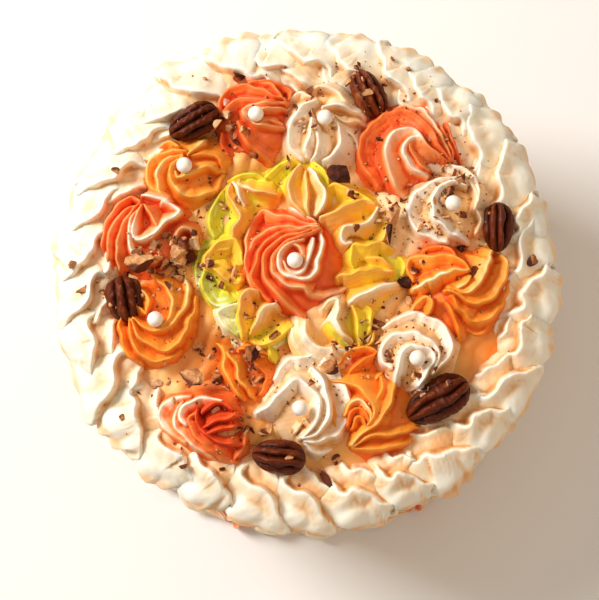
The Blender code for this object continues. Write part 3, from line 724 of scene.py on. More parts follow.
        ridge((0.5, 0.45, 0.4), 3.4, 2.4, -1.0, (-30, -76), (-26.6, -71), (-25, -65)),
    )),
    "rosette_10": dict(at=(0, 0), pearl="pearl_7", radius=20, height=17.3, mound=(15.5, 17),
        tone=(0.46, 0.42), folds=(
        ridge((0.5, 0.66, 0.8, 0.95), 4.0, 2.4, 0.2, (-9.5, 1), (-6, -2.2), (-0.5, -4.6), (5.6, -3),
              (10.2, 2), (13.2, 8.6), (13, 15), (9, 20)),
        ridge((0.5, 0.62, 0.62, 0.5), 4.5, 2.4, 0.4, (-10, 0.5), (-7.4, -6.1), (-3.1, -10.2), (2.4, -12.4),
              (7.4, -11.2), (10.8, -7.4), (13.9, -0.7), (15.8, 4.8), (16, 10.4)),
        ridge((0.45, 0.62, 0.55), 4.5, 2.4, 0.4, (-10.6, 0.8), (-10.6, -4.8), (-8.9, -10.2), (-5, -15),
              (0.3, -17), (5.8, -15.7), (10, -13)),
        ridge((0.45, 0.5, 0.45), 4.5, 2.4, 0.2, (-14.5, 1.5), (-14.8, -6.1), (-13, -11.6), (-9.9, -15.7),
              (-6, -18)),
        ridge((0.5, 0.7, 0.66), 3.6, 2.2, 0.3, (-2, 19.4), (2.4, 15.2), (5.6, 10.2), (6.6, 5.5),
              (5.4, 1.2), (2, -2)),
        ridge((0.5, 0.66, 0.9), 3.0, 2.2, -0.4, (-4, 3), (-2.6, 8), (-6, 12), (-9, 14)),
        ridge((0.55, 0.7), 2.4, 2.0, -0.8, (-4, 2), (-7, 5), (-10.5, 6.4)),
    )),
    "rosette_11": dict(at=(-66, 19), radius=21, height=18, mound=(17, 18),
        tone=(0.54, 0.40), bowl=12.0, folds=(
        ridge((0.5, 0.6, 0.5), 4.5, 2.4, 0.3, (-69, 31), (-73.2, 33.6), (-78, 30.5), (-82, 26),
              (-84.4, 20), (-85.6, 13), (-85, 5)),
        ridge((0.4, 0.7, 0.5), 4.5, 2.2, 0.5, (-69.4, 30.5), (-74, 28), (-79, 24), (-82.4, 17), (-83, 9),
              (-82.4, 2)),
        ridge((0.4, 0.66, 0.5), 4.5, 2.2, 0.7, (-69.4, 30), (-72, 27.4), (-75.4, 22.6), (-78.2, 16.4),
              (-79.2, 9.6), (-78, 3)),
        ridge((0.5, 0.9, 0.9, 0.62), 3.4, 2.0, 0.8, (-69, 30), (-71, 26.8), (-73.2, 21.4), (-74, 16),
              (-72.6, 10.4), (-69.4, 7.2), (-64.6, 6.4), (-61, 7.2)),
        ridge((0.6, 0.95, 1.0, 1.0, 0.9), 3.0, 2.0, 0.7, (-68.6, 29.6), (-70.4, 26), (-71.8, 20.6),
              (-71.8, 16.4), (-69.4, 14.2), (-65.6, 15.2), (-62, 18), (-58.6, 22), (-54.8, 24.4),
              (-53, 27.4), (-56, 30), (-60.4, 31)),
        ridge((0.5, 0.6, 0.66), 3.0, 2.4, 0.0, (-68, 29.6), (-65, 26), (-62.4, 20.4)),
        ridge((0.9, 1.0, 1.0), 3.0, 2.4, -0.4, (-69, 33.4), (-65, 32.6), (-61, 32), (-57, 31)),
        ridge((0.7, 0.8, 0.7), 2.6, 2.2, -1.0, (-54.4, 11.6), (-54.2, 17), (-52, 19.8), (-48.6, 19.4),
              (-47.4, 15.6), (-49, 12.4)),
    )),
    "rosette_12": dict(at=(0, 0), pearl="pearl_8", radius=18, height=17, mound=(15, 14.5),
        tone=(0.64, 0.62), folds=(
        ridge((0.62, 0.75, 0.7), 4.5, 2.4, 0.2, (1, 6.6), (-4.4, 6.8), (-10.4, 5.6), (-15, 3),
              (-16.4, -1.8), (-15, -7.2), (-11.4, -11)),
        ridge((0.7, 0.85, 0.75), 4.0, 2.2, 0.3, (-1, 5.4), (-6.2, 4), (-10.3, 0.4), (-12, -3.8), (-11, -9),
              (-7, -13.2)),
        ridge((0.6, 0.7, 0.66, 0.55), 4.5, 2.4, 0.3, (-1, 4.4), (-4.7, 1.2), (-6, -3), (-4.9, -7.8),
              (-1.4, -11.4), (3.4, -12.5), (9.4, -11.2), (13.6, -7.6), (16, -2.4)),
        ridge((0.7, 0.75, 0.6), 3.4, 2.2, 0.0, (-3.6, -2), (-2.6, -4.6), (1.4, -3.6), (6.8, -0.8),
              (12.2, -0.8), (16, -1.6)),
        ridge((0.6, 0.85, 0.9), 2.6, 2.6, 0.4, (1, 5), (4.4, 7.8), (7.6, 10.4), (8.6, 11.4)),
        ridge((0.55, 0.5), 4.0, 2.4, -0.6, (3, 4), (9, 5), (14, 3), (16, -1)),
        ridge((0.62, 0.7), 3.0, 2.2, -1.4, (-2, 9), (-7, 10.6), (-11, 9)),
    )),
    "rosette_13": dict(at=(-26.2, -40.7), radius=15, height=13, mound=(12, 11),
        tone=(0.30, 0.30), bowl=8.0, folds=(
        ridge((0.7, 0.66, 0.62, 0.5), 4.0, 2.4, 0.4, (-39, -27), (-34.8, -31), (-34.8, -37),
              (-32.6, -42.3), (-29, -47.8), (-26.5, -51)),
        ridge((0.6, 0.75, 0.5), 3.0, 2.2, 0.4, (-33, -31), (-30, -36), (-28.4, -42), (-24.4, -48),
              (-22, -51)),
        ridge(0.25, 3.4, 2.4, 0.0, (-24, -34), (-19.4, -38), (-17, -43), (-20, -49)),
        ridge((0.5, 0.35), 3.4, 2.4, -0.6, (-28, -30.6), (-22, -30), (-16, -33)),
    )),
    "rosette_14": dict(at=(21.9, -36), radius=12, height=12.5, mound=(9.5, 8.5),
        tone=(0.30, 0.30), bowl=7.5, folds=(
        ridge((0.5, 0.62, 0.5), 3.4, 2.2, 0.2, (31, -33), (27, -30), (21.5, -29.4), (15, -32),
              (12.6, -36.4)),
        ridge((0.6, 0.8, 0.66), 3.4, 2.2, 0.2, (12, -37.6), (15.5, -42), (21, -44.2), (27, -43.4),
              (31, -40)),
        ridge(0.3, 3.0, 2.2, 0.2, (28, -32), (23.6, -34), (19, -38), (17, -41)),
    )),
}
slots = {
    "coral_icing": ("rosette_centre", "rosette_1", "rosette_3", "rosette_9", "rosette_11"),
    "orange_icing": ("rosette_5", "rosette_7", "rosette_10", "rosette_12", "rosette_13", "rosette_14"),
    "cream_icing": ("rosette_2", "rosette_4", "rosette_6", "rosette_8"),
}


def slotOf(node):
    return next(slot for slot, names in slots.items() if node in names)


def foldRosette(node, spec, seed):
    middle, size = place(node)
    at = np.array(spec["at"])
    if "pearl" in spec:
        pearl, pearlSize = place(spec["pearl"])
        eye = pearl[:2] / mm
        bowl = (*eye, (pearl[2] - pearlSize[2] / 2 - deck) / mm + 0.6)
    else:
        eye = at
        bowl = None
    folds = []
    for item in spec["folds"]:
        path = np.array(item["points"], float) - at + eye
        apart = np.linalg.norm(path - eye, axis=1) / spec["radius"]
        share = np.linspace(0.0, 1.0, len(path))
        top = spec["height"] * (1.0 - 0.44 * np.minimum(apart, 1.25) ** 2) + item["lift"]
        top -= 2.4 * smooth(share, 0.72, 1.0) * smooth(apart, 0.5, 0.9)
        folds.append({**item, "path": np.column_stack([path, top])})
    x, y = middle[:2] / mm + spec.get("off", (0.0, 0.0))
    bodies = [(x, y, *spec["mound"], spec.get("bowl", spec["height"] * 0.72) * 0.9)]
    near, away = spec["tone"]

    def ground(spots):
        return mix(near, away, smooth(np.linalg.norm(spots - eye, axis=1), 6, 15))

    slot = slotOf(node)
    look = {**skinLook, "fade": 1.5 if slot == "cream_icing" else skinLook["fade"]}
    mesh = icingSkin(node, icings[slot], ground, folds, look, seed, bodies, bowl)
    dress(node.replace("rosette_", "rosette") + "Icing", mesh, slot, node)


for number, (node, spec) in enumerate(rosettes.items()):
    foldRosette(node, spec, 10 + 40 * number)
print("rosettes folded:", len(rosettes))


# Leaves round the middle rosette, with folds as above. Here lift is the level of a fold near the
# middle, and it sinks away from there.
leaves = {
    "leaf_1": dict(mound=(13, 12), tone=(0.58, 0.22), height=12, folds=(
        ridge((0.30, 0.10, 0.08), 5.0, 2.4, 12.5, (-34, 38), (-38, 33), (-41, 27), (-41.4, 21),
              (-39.5, 15.5)),
        ridge((0.66, 0.72, 0.6), 4.0, 2.4, 15.0, (-33.4, 38.4), (-33.2, 32.6), (-29.6, 27), (-28.8, 23),
              (-31.4, 19), (-32, 15)),
        ridge((1.0, 0.95, 0.8), 3.4, 2.4, 15.0, (-31.4, 39), (-28.9, 33.6), (-26.4, 28.4)),
        ridge((0.8, 0.7, 0.6), 4.6, 3.0, 15.0, (-29.5, 38.8), (-24, 35), (-18.4, 34.2), (-13.4, 33)),
        ridge((0.25, 0.20, 0.35), 3.6, 2.4, 13.0, (-17.6, 40), (-23.6, 42.4), (-29.5, 41.8), (-34, 40)),
    )),
    "leaf_2": dict(mound=(12, 12), tone=(0.74, 0.24), height=12, folds=(
        ridge((0.35, 0.20, 0.22), 6.0, 2.4, 13.5, (-3, 46.6), (-7, 48.4), (-12, 46.6), (-18.4, 41)),
        ridge((0.75, 0.70, 0.66), 5.0, 2.2, 15.4, (-3, 46), (-7.2, 41.4), (-9, 36), (-7.4, 30), (-1.5, 24)),
        ridge((0.85, 0.95, 0.9), 4.4, 2.2, 15.6, (3, 24.6), (6.4, 30), (6.6, 35), (4.4, 40), (0.6, 45)),
        ridge((0.7, 0.75), 2.4, 2.2, 14.4, (0, 24), (-0.6, 30), (-0.8, 37), (-1.2, 44)),
        ridge((0.22, 0.30), 4.6, 2.4, 12.5, (9, 38), (6.6, 43.6), (2, 48.6)),
    )),
    "leaf_3": dict(mound=(13, 12), tone=(0.64, 0.38), height=12, folds=(
        ridge((0.70, 0.62, 0.75), 4.6, 2.6, 15.6, (28, 30), (21, 30.4), (15, 28.6), (10.3, 26.2),
              (4.6, 24.4)),
        ridge((1.0, 0.9, 0.95, 0.85), 3.4, 2.2, 15.6, (28.8, 28.2), (25.8, 23.2), (21.2, 20.6), (15, 19.8),
              (13.3, 16), (15, 12.4), (18, 12.6)),
        ridge((0.45, 0.40, 0.45), 5.0, 2.4, 13.6, (31, 26), (25.6, 31.4), (18.8, 34.8), (12, 38), (7, 37)),
        ridge((0.55, 0.45), 5.0, 2.4, 13.0, (27.6, 11), (31.4, 16), (32.4, 22), (31, 27)),
    )),
    "leaf_4": dict(mound=(13, 13), tone=(0.56, 0.30), height=12, folds=(
        ridge((0.50, 0.45, 0.25), 6.0, 2.6, 14.4, (35.5, 11.4), (29, 13), (23, 12.2), (18, 12), (17.2, 6),
              (18.6, 2.6)),
        ridge((0.62, 0.55), 4.0, 2.4, 13.4, (35, 3.4), (30, 6.4), (24, 7.8)),
        ridge((0.62, 0.58, 0.60), 3.2, 3.0, 15.6, (34.6, 1.2), (28, 1.8), (20, 1.2), (11.6, -1)),
        ridge((1.0, 1.0, 0.95), 4.4, 4.4, 15.4, (36, -3.4), (30, -5), (23.4, -7.6), (17, -11.6)),
        ridge((0.35, 0.30), 4.0, 3.0, 10.5, (37, 8), (40, 4), (38, -1)),
    )),
    "leaf_5": dict(mound=(11, 11), tone=(0.44, 0.30), height=10.5, folds=(
        ridge((0.45, 0.25, 0.30), 4.0, 4.0, 13.6, (17.6, -12.4), (19.4, -18), (20.4, -24), (20.8, -30)),
        ridge((0.55, 0.40, 0.35), 4.6, 2.4, 12.0, (22, -28), (25.6, -21), (26.2, -14.6), (22.6, -11)),
        ridge((0.5, 0.66), 3.4, 2.4, 12.0, (23.4, -30), (26.6, -27.6), (27, -23)),
    )),
    "leaf_6": dict(mound=(13, 12), tone=(0.90, 0.72), height=11, folds=(
        ridge((0.80, 1.0, 0.95, 0.8), 3.2, 2.4, 16.0, (17.6, -27.6), (15.2, -25.6), (12.2, -21.6),
              (11.4, -18), (12.6, -14), (11.8, -10.6), (8.6, -11), (5.6, -14)),
        ridge((0.85, 0.95, 1.0, 0.85), 9.0, 2.6, 14.0, (18, -31.6), (11, -30.4), (5.2, -30.6),
              (1.2, -28.2), (-1, -24.2), (-1, -19)),
        ridge((0.05, 0.08, 0.10), 2.6, 2.2, 13.2, (17.4, -30), (13.6, -26.4), (9.4, -22.4), (8.6, -18.6)),
        ridge((0.9, 0.8), 5.0, 3.0, 10.5, (18, -32.4), (13.4, -35.6), (8, -37), (3, -33)),
    )),
    "leaf_7": dict(mound=(13, 12), tone=(0.60, 0.06), height=11, folds=(
        ridge((-0.06, -0.06, 0.02), 7.0, 2.6, 14.6, (-29.4, -12), (-35, -13), (-38, -15.6), (-37, -19),
              (-34.4, -22.8), (-30.6, -25.6)),
        ridge((0.70, 0.66, 0.45), 4.4, 2.2, 15.8, (-21, -7.4), (-25.6, -6.6), (-28.2, -10), (-29.2, -15.6),
              (-28.6, -21), (-27.2, -26.4)),
        ridge((0.95, 0.90, 0.6), 3.2, 2.4, 15.6, (-13.6, -12.6), (-17.6, -13.2), (-20.4, -15.8),
              (-21.8, -20.4), (-24.6, -24.6)),
        ridge((0.50, 0.40, 0.45), 6.0, 2.4, 12.6, (-25.4, -27.4), (-18.5, -29), (-12, -26), (-6.4, -21)),
        ridge((0.30, 0.35), 3.6, 3.0, 10.5, (-17, -29), (-15.6, -34), (-13.6, -36)),
    )),
    "leaf_8": dict(mound=(12, 12), tone=(0.52, 0.20), height=11.5, folds=(
        ridge((0.50, 0.45, 0.50, 0.55, 0.50), 5.0, 2.4, 15.2, (-27.4, 4), (-28.4, 11.6), (-30.8, 14.6),
              (-35.4, 14), (-40.4, 11), (-43.6, 6.4), (-42.4, 3.2), (-38.6, 1.4), (-33.8, -2.4),
              (-30, -4.2), (-27.4, -2)),
        ridge((0.12, 0.08, 0.10), 8.0, 2.4, 12.6, (-43.6, 3), (-44.6, -3), (-42.4, -9.6), (-38.9, -12.6),
              (-33, -12), (-28.4, -9.6)),
        ridge((0.15, 0.10), 3.4, 2.4, 10.5, (-45.6, 10), (-47.4, 3), (-46.6, -5)),
        ridge((0.62, 0.55), 4.6, 3.4, 13.0, (-41, 9), (-37, 10), (-33, 11)),
    )),
}


leafLook = {**skinLook, "lip": 1.0, "lipIn": 1.5, "sink": 4.4, "start": 0.6, "fade": 1.1, "glint": 0.03,
            "valley": 0.06, "back": 0.03}


leafShift = (0.6, 0.8)  # in mm, from the sketch to the cake


def foldLeaf(node, spec, seed):
    hub = place("pearl_1")[0][:2] / mm
    folds = []
    for item in spec["folds"]:
        path = np.array(item["points"], float) + leafShift
        apart = np.linalg.norm(path - hub, axis=1)
        share = np.linspace(0.0, 1.0, len(path))
        top = item["lift"] - 2.8 * smooth(apart, 28, 44)
        top -= 1.6 * (smooth(share, 0.8, 1.0) + smooth(-share, -0.15, 0.0))
        folds.append({**item, "path": np.column_stack([path, top])})
    x, y = place(node)[0][:2] / mm
    bodies = [(x, y, *spec["mound"], spec["height"] * 0.6)]
    near, away = spec["tone"]

    def ground(spots):
        return mix(near, away, smooth(np.linalg.norm(spots - hub, axis=1), 25, 35))

    mesh = icingSkin(node, leafy, ground, folds, leafLook, seed, bodies)
    dress(node.replace("_", "") + "Icing", mesh, "leaf_icing", node)


for number, (node, spec) in enumerate(leaves.items()):
    foldLeaf(node, spec, 700 + 20 * number)
print("leaves folded:", len(leaves))


def shellMesh(name, material, look, seed):
    # one shell of the foot border, along +X with its head at the start; -Y faces out from the cake
    draw = np.random.default_rng(seed)
    share = np.linspace(0.0, 1.0, look["steps"])
    length = look["length"]
    head = np.sqrt(np.clip(1.0 - (1.0 - np.minimum(share / look["head"], 1.0)) ** 2, 0.0, 1.0))
    width = look["width"] * (0.25 + 0.75 * head) * (1.0 - 0.86 * smooth(share, 0.30, 1.05))
    top = look["height"] * (0.66 + 0.34 * head - 0.66 * smooth(share, 0.32, 1.0))
    path = np.empty((look["steps"], 3))
    path[:, 0] = (share - 0.38) * length
    path[:, 1] = -look["skew"] * draw.uniform(0.6, 1.4) * (share - 0.35) * length
    path[:, 1] -= look["swing"] * draw.uniform(0.3, 1.5) * np.maximum(share - 0.35, 0.0) ** 2 * length
    path[:, 2] = top - width
    width = width * np.sqrt(smooth(share, -0.01, 0.07) * smooth(-share, -1.005, -0.96))
    phase = math.radians(look["phase"] + draw.uniform(-12.0, 12.0))
    phase = phase - math.radians(look["twist"] * draw.uniform(0.75, 1.25)) * share
    piece = Piece()
    pipe(piece, path, width, phase, look, seed * 3)
    return piece.mesh(name, material)


def standingTree(name, material):
    # stands the shapes of a collection on the points of the host mesh, turned and sized by its attributes
    tree = bpy.data.node_groups.new(name, "GeometryNodeTree")
    tree.interface.new_socket("Geometry", in_out="INPUT", socket_type="NodeSocketGeometry")
    tree.interface.new_socket("Shapes", in_out="INPUT", socket_type="NodeSocketCollection")
    tree.interface.new_socket("Uneven height", in_out="INPUT", socket_type="NodeSocketFloat")
    tree.interface.new_socket("Seed", in_out="INPUT", socket_type="NodeSocketInt")
    tree.interface.new_socket("Geometry", in_out="OUTPUT", socket_type="NodeSocketGeometry")

    def node(kind, settings=None, **links):
        made = tree.nodes.new(kind)
        for key, value in (settings or {}).items():
            setattr(made, key, value)
        for key, value in links.items():
            socket = made.inputs[key.replace("_", " ")]
            if isinstance(value, bpy.types.NodeSocket):
                tree.links.new(value, socket)
            else:
                socket.default_value = value
        return made

    given = node("NodeGroupInput")
    shapes = node("GeometryNodeCollectionInfo", Collection=given.outputs["Shapes"])
    shapes.inputs["Separate Children"].default_value = True
    shapes.inputs["Reset Children"].default_value = True
    turn = node("GeometryNodeInputNamedAttribute", {"data_type": "FLOAT_VECTOR"}, Name="turn")
    size = node("GeometryNodeInputNamedAttribute", {"data_type": "FLOAT_VECTOR"}, Name="size")
    pick = node("FunctionNodeRandomValue", {"data_type": "INT"}, Seed=given.outputs["Seed"])
    pick.inputs[4].default_value = 0
    pick.inputs[5].default_value = 40
    stood = node("GeometryNodeInstanceOnPoints", Points=given.outputs["Geometry"],
                 Instance=shapes.outputs["Instances"], Rotation=turn.outputs["Attribute"],
                 Scale=size.outputs["Attribute"])
    stood.inputs["Pick Instance"].default_value = True
    tree.links.new(pick.outputs[2], stood.inputs["Instance Index"])
    real = node("GeometryNodeRealizeInstances", Geometry=stood.outputs[0])
    rough = node("ShaderNodeTexNoise", {"noise_dimensions": "3D"}, Scale=70.0, Detail=2.0)
    centred = node("ShaderNodeVectorMath", {"operation": "SUBTRACT"})
    tree.links.new(rough.outputs["Color"], centred.inputs[0])
    centred.inputs[1].default_value = (0.5, 0.5, 0.5)
    scaled = node("ShaderNodeVectorMath", {"operation": "SCALE"}, Scale=given.outputs["Uneven height"])
    tree.links.new(centred.outputs[0], scaled.inputs[0])
    moved = node("GeometryNodeSetPosition", Geometry=real.outputs[0], Offset=scaled.outputs[0])
    finished = node("GeometryNodeSetMaterial", Geometry=moved.outputs[0], Material=material)
    result = node("NodeGroupOutput")
    tree.links.new(finished.outputs[0], result.inputs[0])
    return tree


def standShapes(name, points, turns, sizes, shapes, material, uneven, seed):
    # host points, with one collection of shapes, made real
    host = bpy.data.meshes.new(name + "Points")
    host.from_pydata(points, [], [])
    for key, values in (("turn", turns), ("size", sizes)):
        attribute = host.attributes.new(key, "FLOAT_VECTOR", "POINT")
        attribute.data.foreach_set("vector", np.array(values, np.float32).ravel())
    store = bpy.data.collections.new(name + "Shapes")
    for mesh in shapes:
        store.objects.link(bpy.data.objects.new(mesh.name, mesh))
    holder = addObject(name + "Host", host)
    modifier = holder.modifiers.new(name, "NODES")
    tree = standingTree(name + "Tree", material)
    values = {"Shapes": store, "Uneven height": uneven, "Seed": seed}
    for socket in tree.interface.items_tree:
        if socket.in_out == "INPUT" and socket.name in values:
            values[socket.identifier] = values.pop(socket.name)
    modifier.node_group = tree
    for key, value in values.items():
        modifier[key] = value
    graph = bpy.context.evaluated_depsgraph_get()
    mesh = bpy.data.meshes.new_from_object(holder.evaluated_get(graph))
    mesh.name = name
    bpy.data.objects.remove(holder)
    for thing in list(store.objects):
        bpy.data.objects.remove(thing)
    mesh.materials.clear()
    mesh.materials.append(material)
    mesh.shade_smooth()
    return mesh


def cornersOf(mesh):
    spots = np.empty(len(mesh.vertices) * 3, np.float32)
    mesh.vertices.foreach_get("co", spots)
    return spots.reshape(-1, 3)


# A shell of the top border lies along +X and -Y faces out from the cake. Its ridges are drawn from the
# tail to the head, so that the cliffs look inwards and the long faces make the outer lobes.
shellLook = {
    **skinLook, "pace": 0.75, "around": 5.2, "nearby": (2, 3), "trim": 0.5, "skirt": 0.0,
    "lip": 0.8, "lipIn": 2.0, "lipOut": 0.9, "sink": 3.2, "cliff": 8.0, "soft": 0.60, "sway": 0.6,
    "start": 0.75, "fade": 0.8, "glint": 0.02, "valley": 0.42, "back": 0.05, "bodyTone": 0.0, "streak": 0.012,
}
shellRidges = (
    ridge((0.85, 0.92, 0.92, 0.85), 5.2, 2.0, 0.0, (13.6, -8.4, 5.5), (9.6, -5.6, 9.4), (5.4, -1.0, 12.0),
          (0.4, 2.4, 14.0), (-4.6, 3.4, 13.4), (-8.6, 6.0, 11.4), (-9.0, 10.4, 8.5)),
    ridge((0.70, 0.85, 0.80), 4.6, 2.0, 0.0, (13, -0.6, 4.0), (10, 4.8, 8.6), (5.4, 8.8, 10.4),
          (0.4, 11.6, 9.6), (-2.6, 15.0, 7.6)),
    ridge((0.70, 0.80), 3.6, 2.0, 0.0, (12, 6.0, 3.0), (9, 10.4, 6.0), (5, 13.8, 6.6), (1.0, 16.0, 5.0)),
)
# the lobes of a shell: x, y, reach along and across, height, turn, power; a power near 1 makes it pointed
shellLobes = (
    (-2.6, -3.8, 10.6, 8.6, 9.0, 0.30, 2.0), (6.6, -4.6, 6.4, 5.6, 7.0, -0.20, 1.9),
    (-1.0, -9.2, 9.0, 4.8, 4.0, 0.10, 1.9), (3.0, 6.0, 10.6, 8.8, 8.6, 0.25, 1.9),
    (-6.0, 9.4, 7.0, 6.6, 7.6, -0.30, 1.9),
)


def shellSkin(name, material, seed):
    draw = np.random.default_rng(seed)
    stretch = np.array((draw.uniform(0.90, 1.08), draw.uniform(0.88, 1.04), draw.uniform(0.88, 1.0)))
    folds = []
    for item in shellRidges[:2 + seed % 2]:
        path = np.array(item["points"]) * stretch
        path[:, :2] += draw.normal(size=(len(path), 2)) * 0.7
        path[:, 2] += draw.normal(size=len(path)) * 0.4
        folds.append({**item, "path": path, "inner": item["inner"] * draw.uniform(0.85, 1.3)})
    grown, uneven = (*stretch[:2], *stretch, 1.0, 1.0), (0.6, 0.6, 0.6, 0.6, 0.5, 0.2, 0.05)
    bodies = [np.array(lobe) * grown + draw.normal(size=7) * uneven for lobe in shellLobes]

    def ground(spots):
        # painted highlight: whiter towards the outside; painted shade: peach beside the ridge and darker far
        # out under the lobes; paler towards the inside, with uneven patches
        patch = waves(np.column_stack([spots, 0 * spots[:, 0]]), 13.0, seed)
        outer = smooth(-spots[:, 1] - 0.4 * spots[:, 0], -1.0, 8.0)
        under = smooth(-spots[:, 1], 10.6, 12.6)
        inner = smooth(spots[:, 1], 4.0, 10.0)
        return mix(0.44, 0.96, outer) + 0.16 * inner + 0.05 * patch - 0.34 * under

    return icingSkin(name, material, ground, folds, shellLook, seed * 7, bodies, under=0.0)


topBorder = {"count": 32, "ring": 92.8 * mm, "kinds": 8, "wave": 0.11, "waveFrom": math.radians(90.0)}


def topBorderShells():
    draw = np.random.default_rng(3)
    step = 2.0 * math.pi / topBorder["count"]
    points, turns, sizes = [], [], []
    for number in range(topBorder["count"]):
        bearing = number * step
        bearing += topBorder["wave"] * math.sin(bearing + topBorder["waveFrom"]) + draw.normal() * 0.02
        ring = topBorder["ring"] + draw.normal() * 0.5 * mm
        points.append((ring * math.cos(bearing), ring * math.sin(bearing), deck))
        turns.append((0.0, 0.0, bearing + math.pi / 2 + draw.normal() * 0.14))
        grown = draw.uniform(0.90, 1.10)
        sizes.append((grown, grown * draw.uniform(0.94, 1.04), draw.uniform(0.90, 1.0)))
    shapes = [shellSkin(f"shellKind{kind}", cream, 40 + kind) for kind in range(topBorder["kinds"])]
    mesh = standShapes("topBorder", points, turns, sizes, shapes, cream, 1.6 * mm, 4)
    # painted shade: the shells are painted darker and more peach towards the near side (-Y)
    spots = cornersOf(mesh) / mm
    tone = np.empty(len(spots), np.float32)
    mesh.attributes["tone"].data.foreach_get("value", tone)
    paintedFrontShade = smooth(0.35 * spots[:, 0] - 0.94 * spots[:, 1], 0.0, 100.0)
    tone -= (0.16 * paintedFrontShade * (1.0 - smooth(tone, 0.45, 1.0))).astype(np.float32)
    mesh.attributes["tone"].data.foreach_set("value", tone)
    dress("topBorderShells", mesh, "cream_icing", "border_top")


topBorderShells()
print("top border piped")

# pitch is the bearing from one shell to the next; fins turn by twist from phase, both in degrees
footBorder = {
    "kinds": 5, "ring": 104.6 * mm, "pitch": 0.19, "tone": 0.62, "uneven": 0.22, "unevenSize": 13 * mm,
    "steps": 36, "around": 50, "length": 27.0 * mm, "width": 7.6 * mm, "height": 12.6 * mm, "head": 0.26,
    "swing": 0.10, "skew": 0.05, "phase": 40.0, "twist": 60.0, "fins": 6, "depth": 0.38,
    "sharp": (0.9, 1.8, 1.4, 1.0, 1.0, 1.0), "kink": 0.14, "kinkSize": 16 * mm, "lean": 0.1,
    "lump": 0.04, "lumpSize": 9 * mm,
}


def bearingSpan(node):
    # first and last bearing of a run, from the points of its own solid
    points = np.array([v.co for v in frame["nodes"][node].data.vertices])
    bearing = np.arctan2(points[:, 1], points[:, 0])
    middle = math.atan2(points[:, 1].mean(), points[:, 0].mean())
    turned = (bearing - middle + math.pi) % (2.0 * math.pi) - math.pi
    return middle + turned.min(), middle + turned.max()


def footShells():
    draw = np.random.default_rng(8)
    kinds = range(footBorder["kinds"])
    shapes = [shellMesh(f"footKind{kind}", cream, footBorder, 80 + kind) for kind in kinds]
    runs = [node for node in frame["nodes"] if node.startswith("border_foot_")]
    for number, node in enumerate(sorted(runs)):
        first, last = bearingSpan(node)
        count = max(round((last - first) / footBorder["pitch"]), 2)
        points, turns, sizes = [], [], []
        for shell in range(count):
            bearing = mix(first, last, (shell + 0.45) / count) + draw.normal() * 0.012
            ring = footBorder["ring"] + draw.normal() * 0.4 * mm
            points.append((ring * math.cos(bearing), ring * math.sin(bearing), 0.0))
            turns.append((0.0, 0.0, bearing + math.pi / 2 + draw.normal() * 0.08))
            grown = draw.uniform(0.90, 1.0)
            sizes.append((grown, grown * draw.uniform(0.9, 1.0), draw.uniform(0.90, 1.0)))
        copies = [shape.copy() for shape in shapes]
        name = f"footRun{number + 1}"
        mesh = standShapes(name, points, turns, sizes, copies, cream, 1.2 * mm, 9 + number)
        spots = cornersOf(mesh)
        spots[:, 2] = np.maximum(spots[:, 2], 0.0)
        mesh.vertices.foreach_set("co", spots.ravel())
        dress(f"footShells{number + 1}", mesh, "cream_icing", node)


footShells()
print("foot border piped")

footStar = {"count": 7, "steps": 40, "around": 72, "fins": 6, "depth": 0.42, "sharp": 1.5, "twist": 1.2,
            "tone": 0.35, "paintedCrestLight": 0.25}


def footStars():
    share = np.linspace(0.0, 1.0, footStar["steps"])
    angle = circle(footStar["around"])[None, :]
    for number in range(1, footStar["count"] + 1):
        node = f"foot_star_{number}"
        middle, size = place(node)
        radius = size[0] / 2 * 1.02
        width = radius * (1.0 - 0.15 * (1 - smooth(share, 0.0, 0.15)) - 0.93 * smooth(share, 0.35, 1.0))
        rings = np.empty((footStar["steps"], footStar["around"], 3))
        turn = (share[:, None] ** 1.5) * footStar["twist"] + number
        crest = ((1.0 + np.cos((angle - turn) * footStar["fins"])) / 2.0) ** footStar["sharp"]
        groove = footStar["depth"] * (1.0 - crest) * smooth(share, 1.05, 0.6)[:, None]
        reach = width[:, None] * (1.0 - groove)
        rings[..., 0] = middle[0] + reach * np.cos(angle)
        rings[..., 1] = middle[1] + reach * np.sin(angle)
        rings[..., 2] = share[:, None] ** 0.9 * size[2]
        piece = Piece()
        # crests painted paler than the grooves: a painted highlight on the fins and painted shade in the
        # grooves
        piece.addSkin(rings, footStar["tone"] + footStar["paintedCrestLight"] * crest, crest)
        dress(f"footStar{number}", piece.mesh(node, coral), "coral_icing", node)


footStars()
print("foot stars piped")


def pearlFinish():
    finish = Finish("pearlSugar", Specular_IOR_Level=0.6, Coat_Weight=0.5, Coat_Roughness=0.12,
                    Subsurface_Weight=0.2, Subsurface_Scale=2.0 * mm)
    cloud = finish.noise(300.0, 2.0)
    colour = finish.ramp(cloud, (0.3, (0.93, 0.84, 0.72)), (0.7, (0.97, 0.93, 0.86)))
    return finish.feed(Base_Color=colour, Roughness=0.22 + cloud * 0.15)


pearlShape = {"count": 8, "rings": 28, "around": 40}


def pearls():
    finish = pearlFinish()
    share = np.linspace(0.02, 0.98, pearlShape["rings"])
    bearing = circle(pearlShape["around"])
    for number in range(1, pearlShape["count"] + 1):
        node = f"pearl_{number}"
        middle, size = place(node)
        radius = size[2] / 2
        rings = np.empty((pearlShape["rings"], pearlShape["around"], 3))
        rings[..., 0] = middle[0] + radius * np.sin(share * math.pi)[:, None] * np.cos(bearing)
        rings[..., 1] = middle[1] + radius * np.sin(share * math.pi)[:, None] * np.sin(bearing)
        rings[..., 2] = middle[2] - radius * np.cos(share * math.pi)[:, None]
        piece = Piece()
        piece.addSkin(rings, 0.5, 0.5)
        dress(f"sugarPearl{number}", piece.mesh(node, finish), "pearl", node)


pearls()
print("pearls laid")


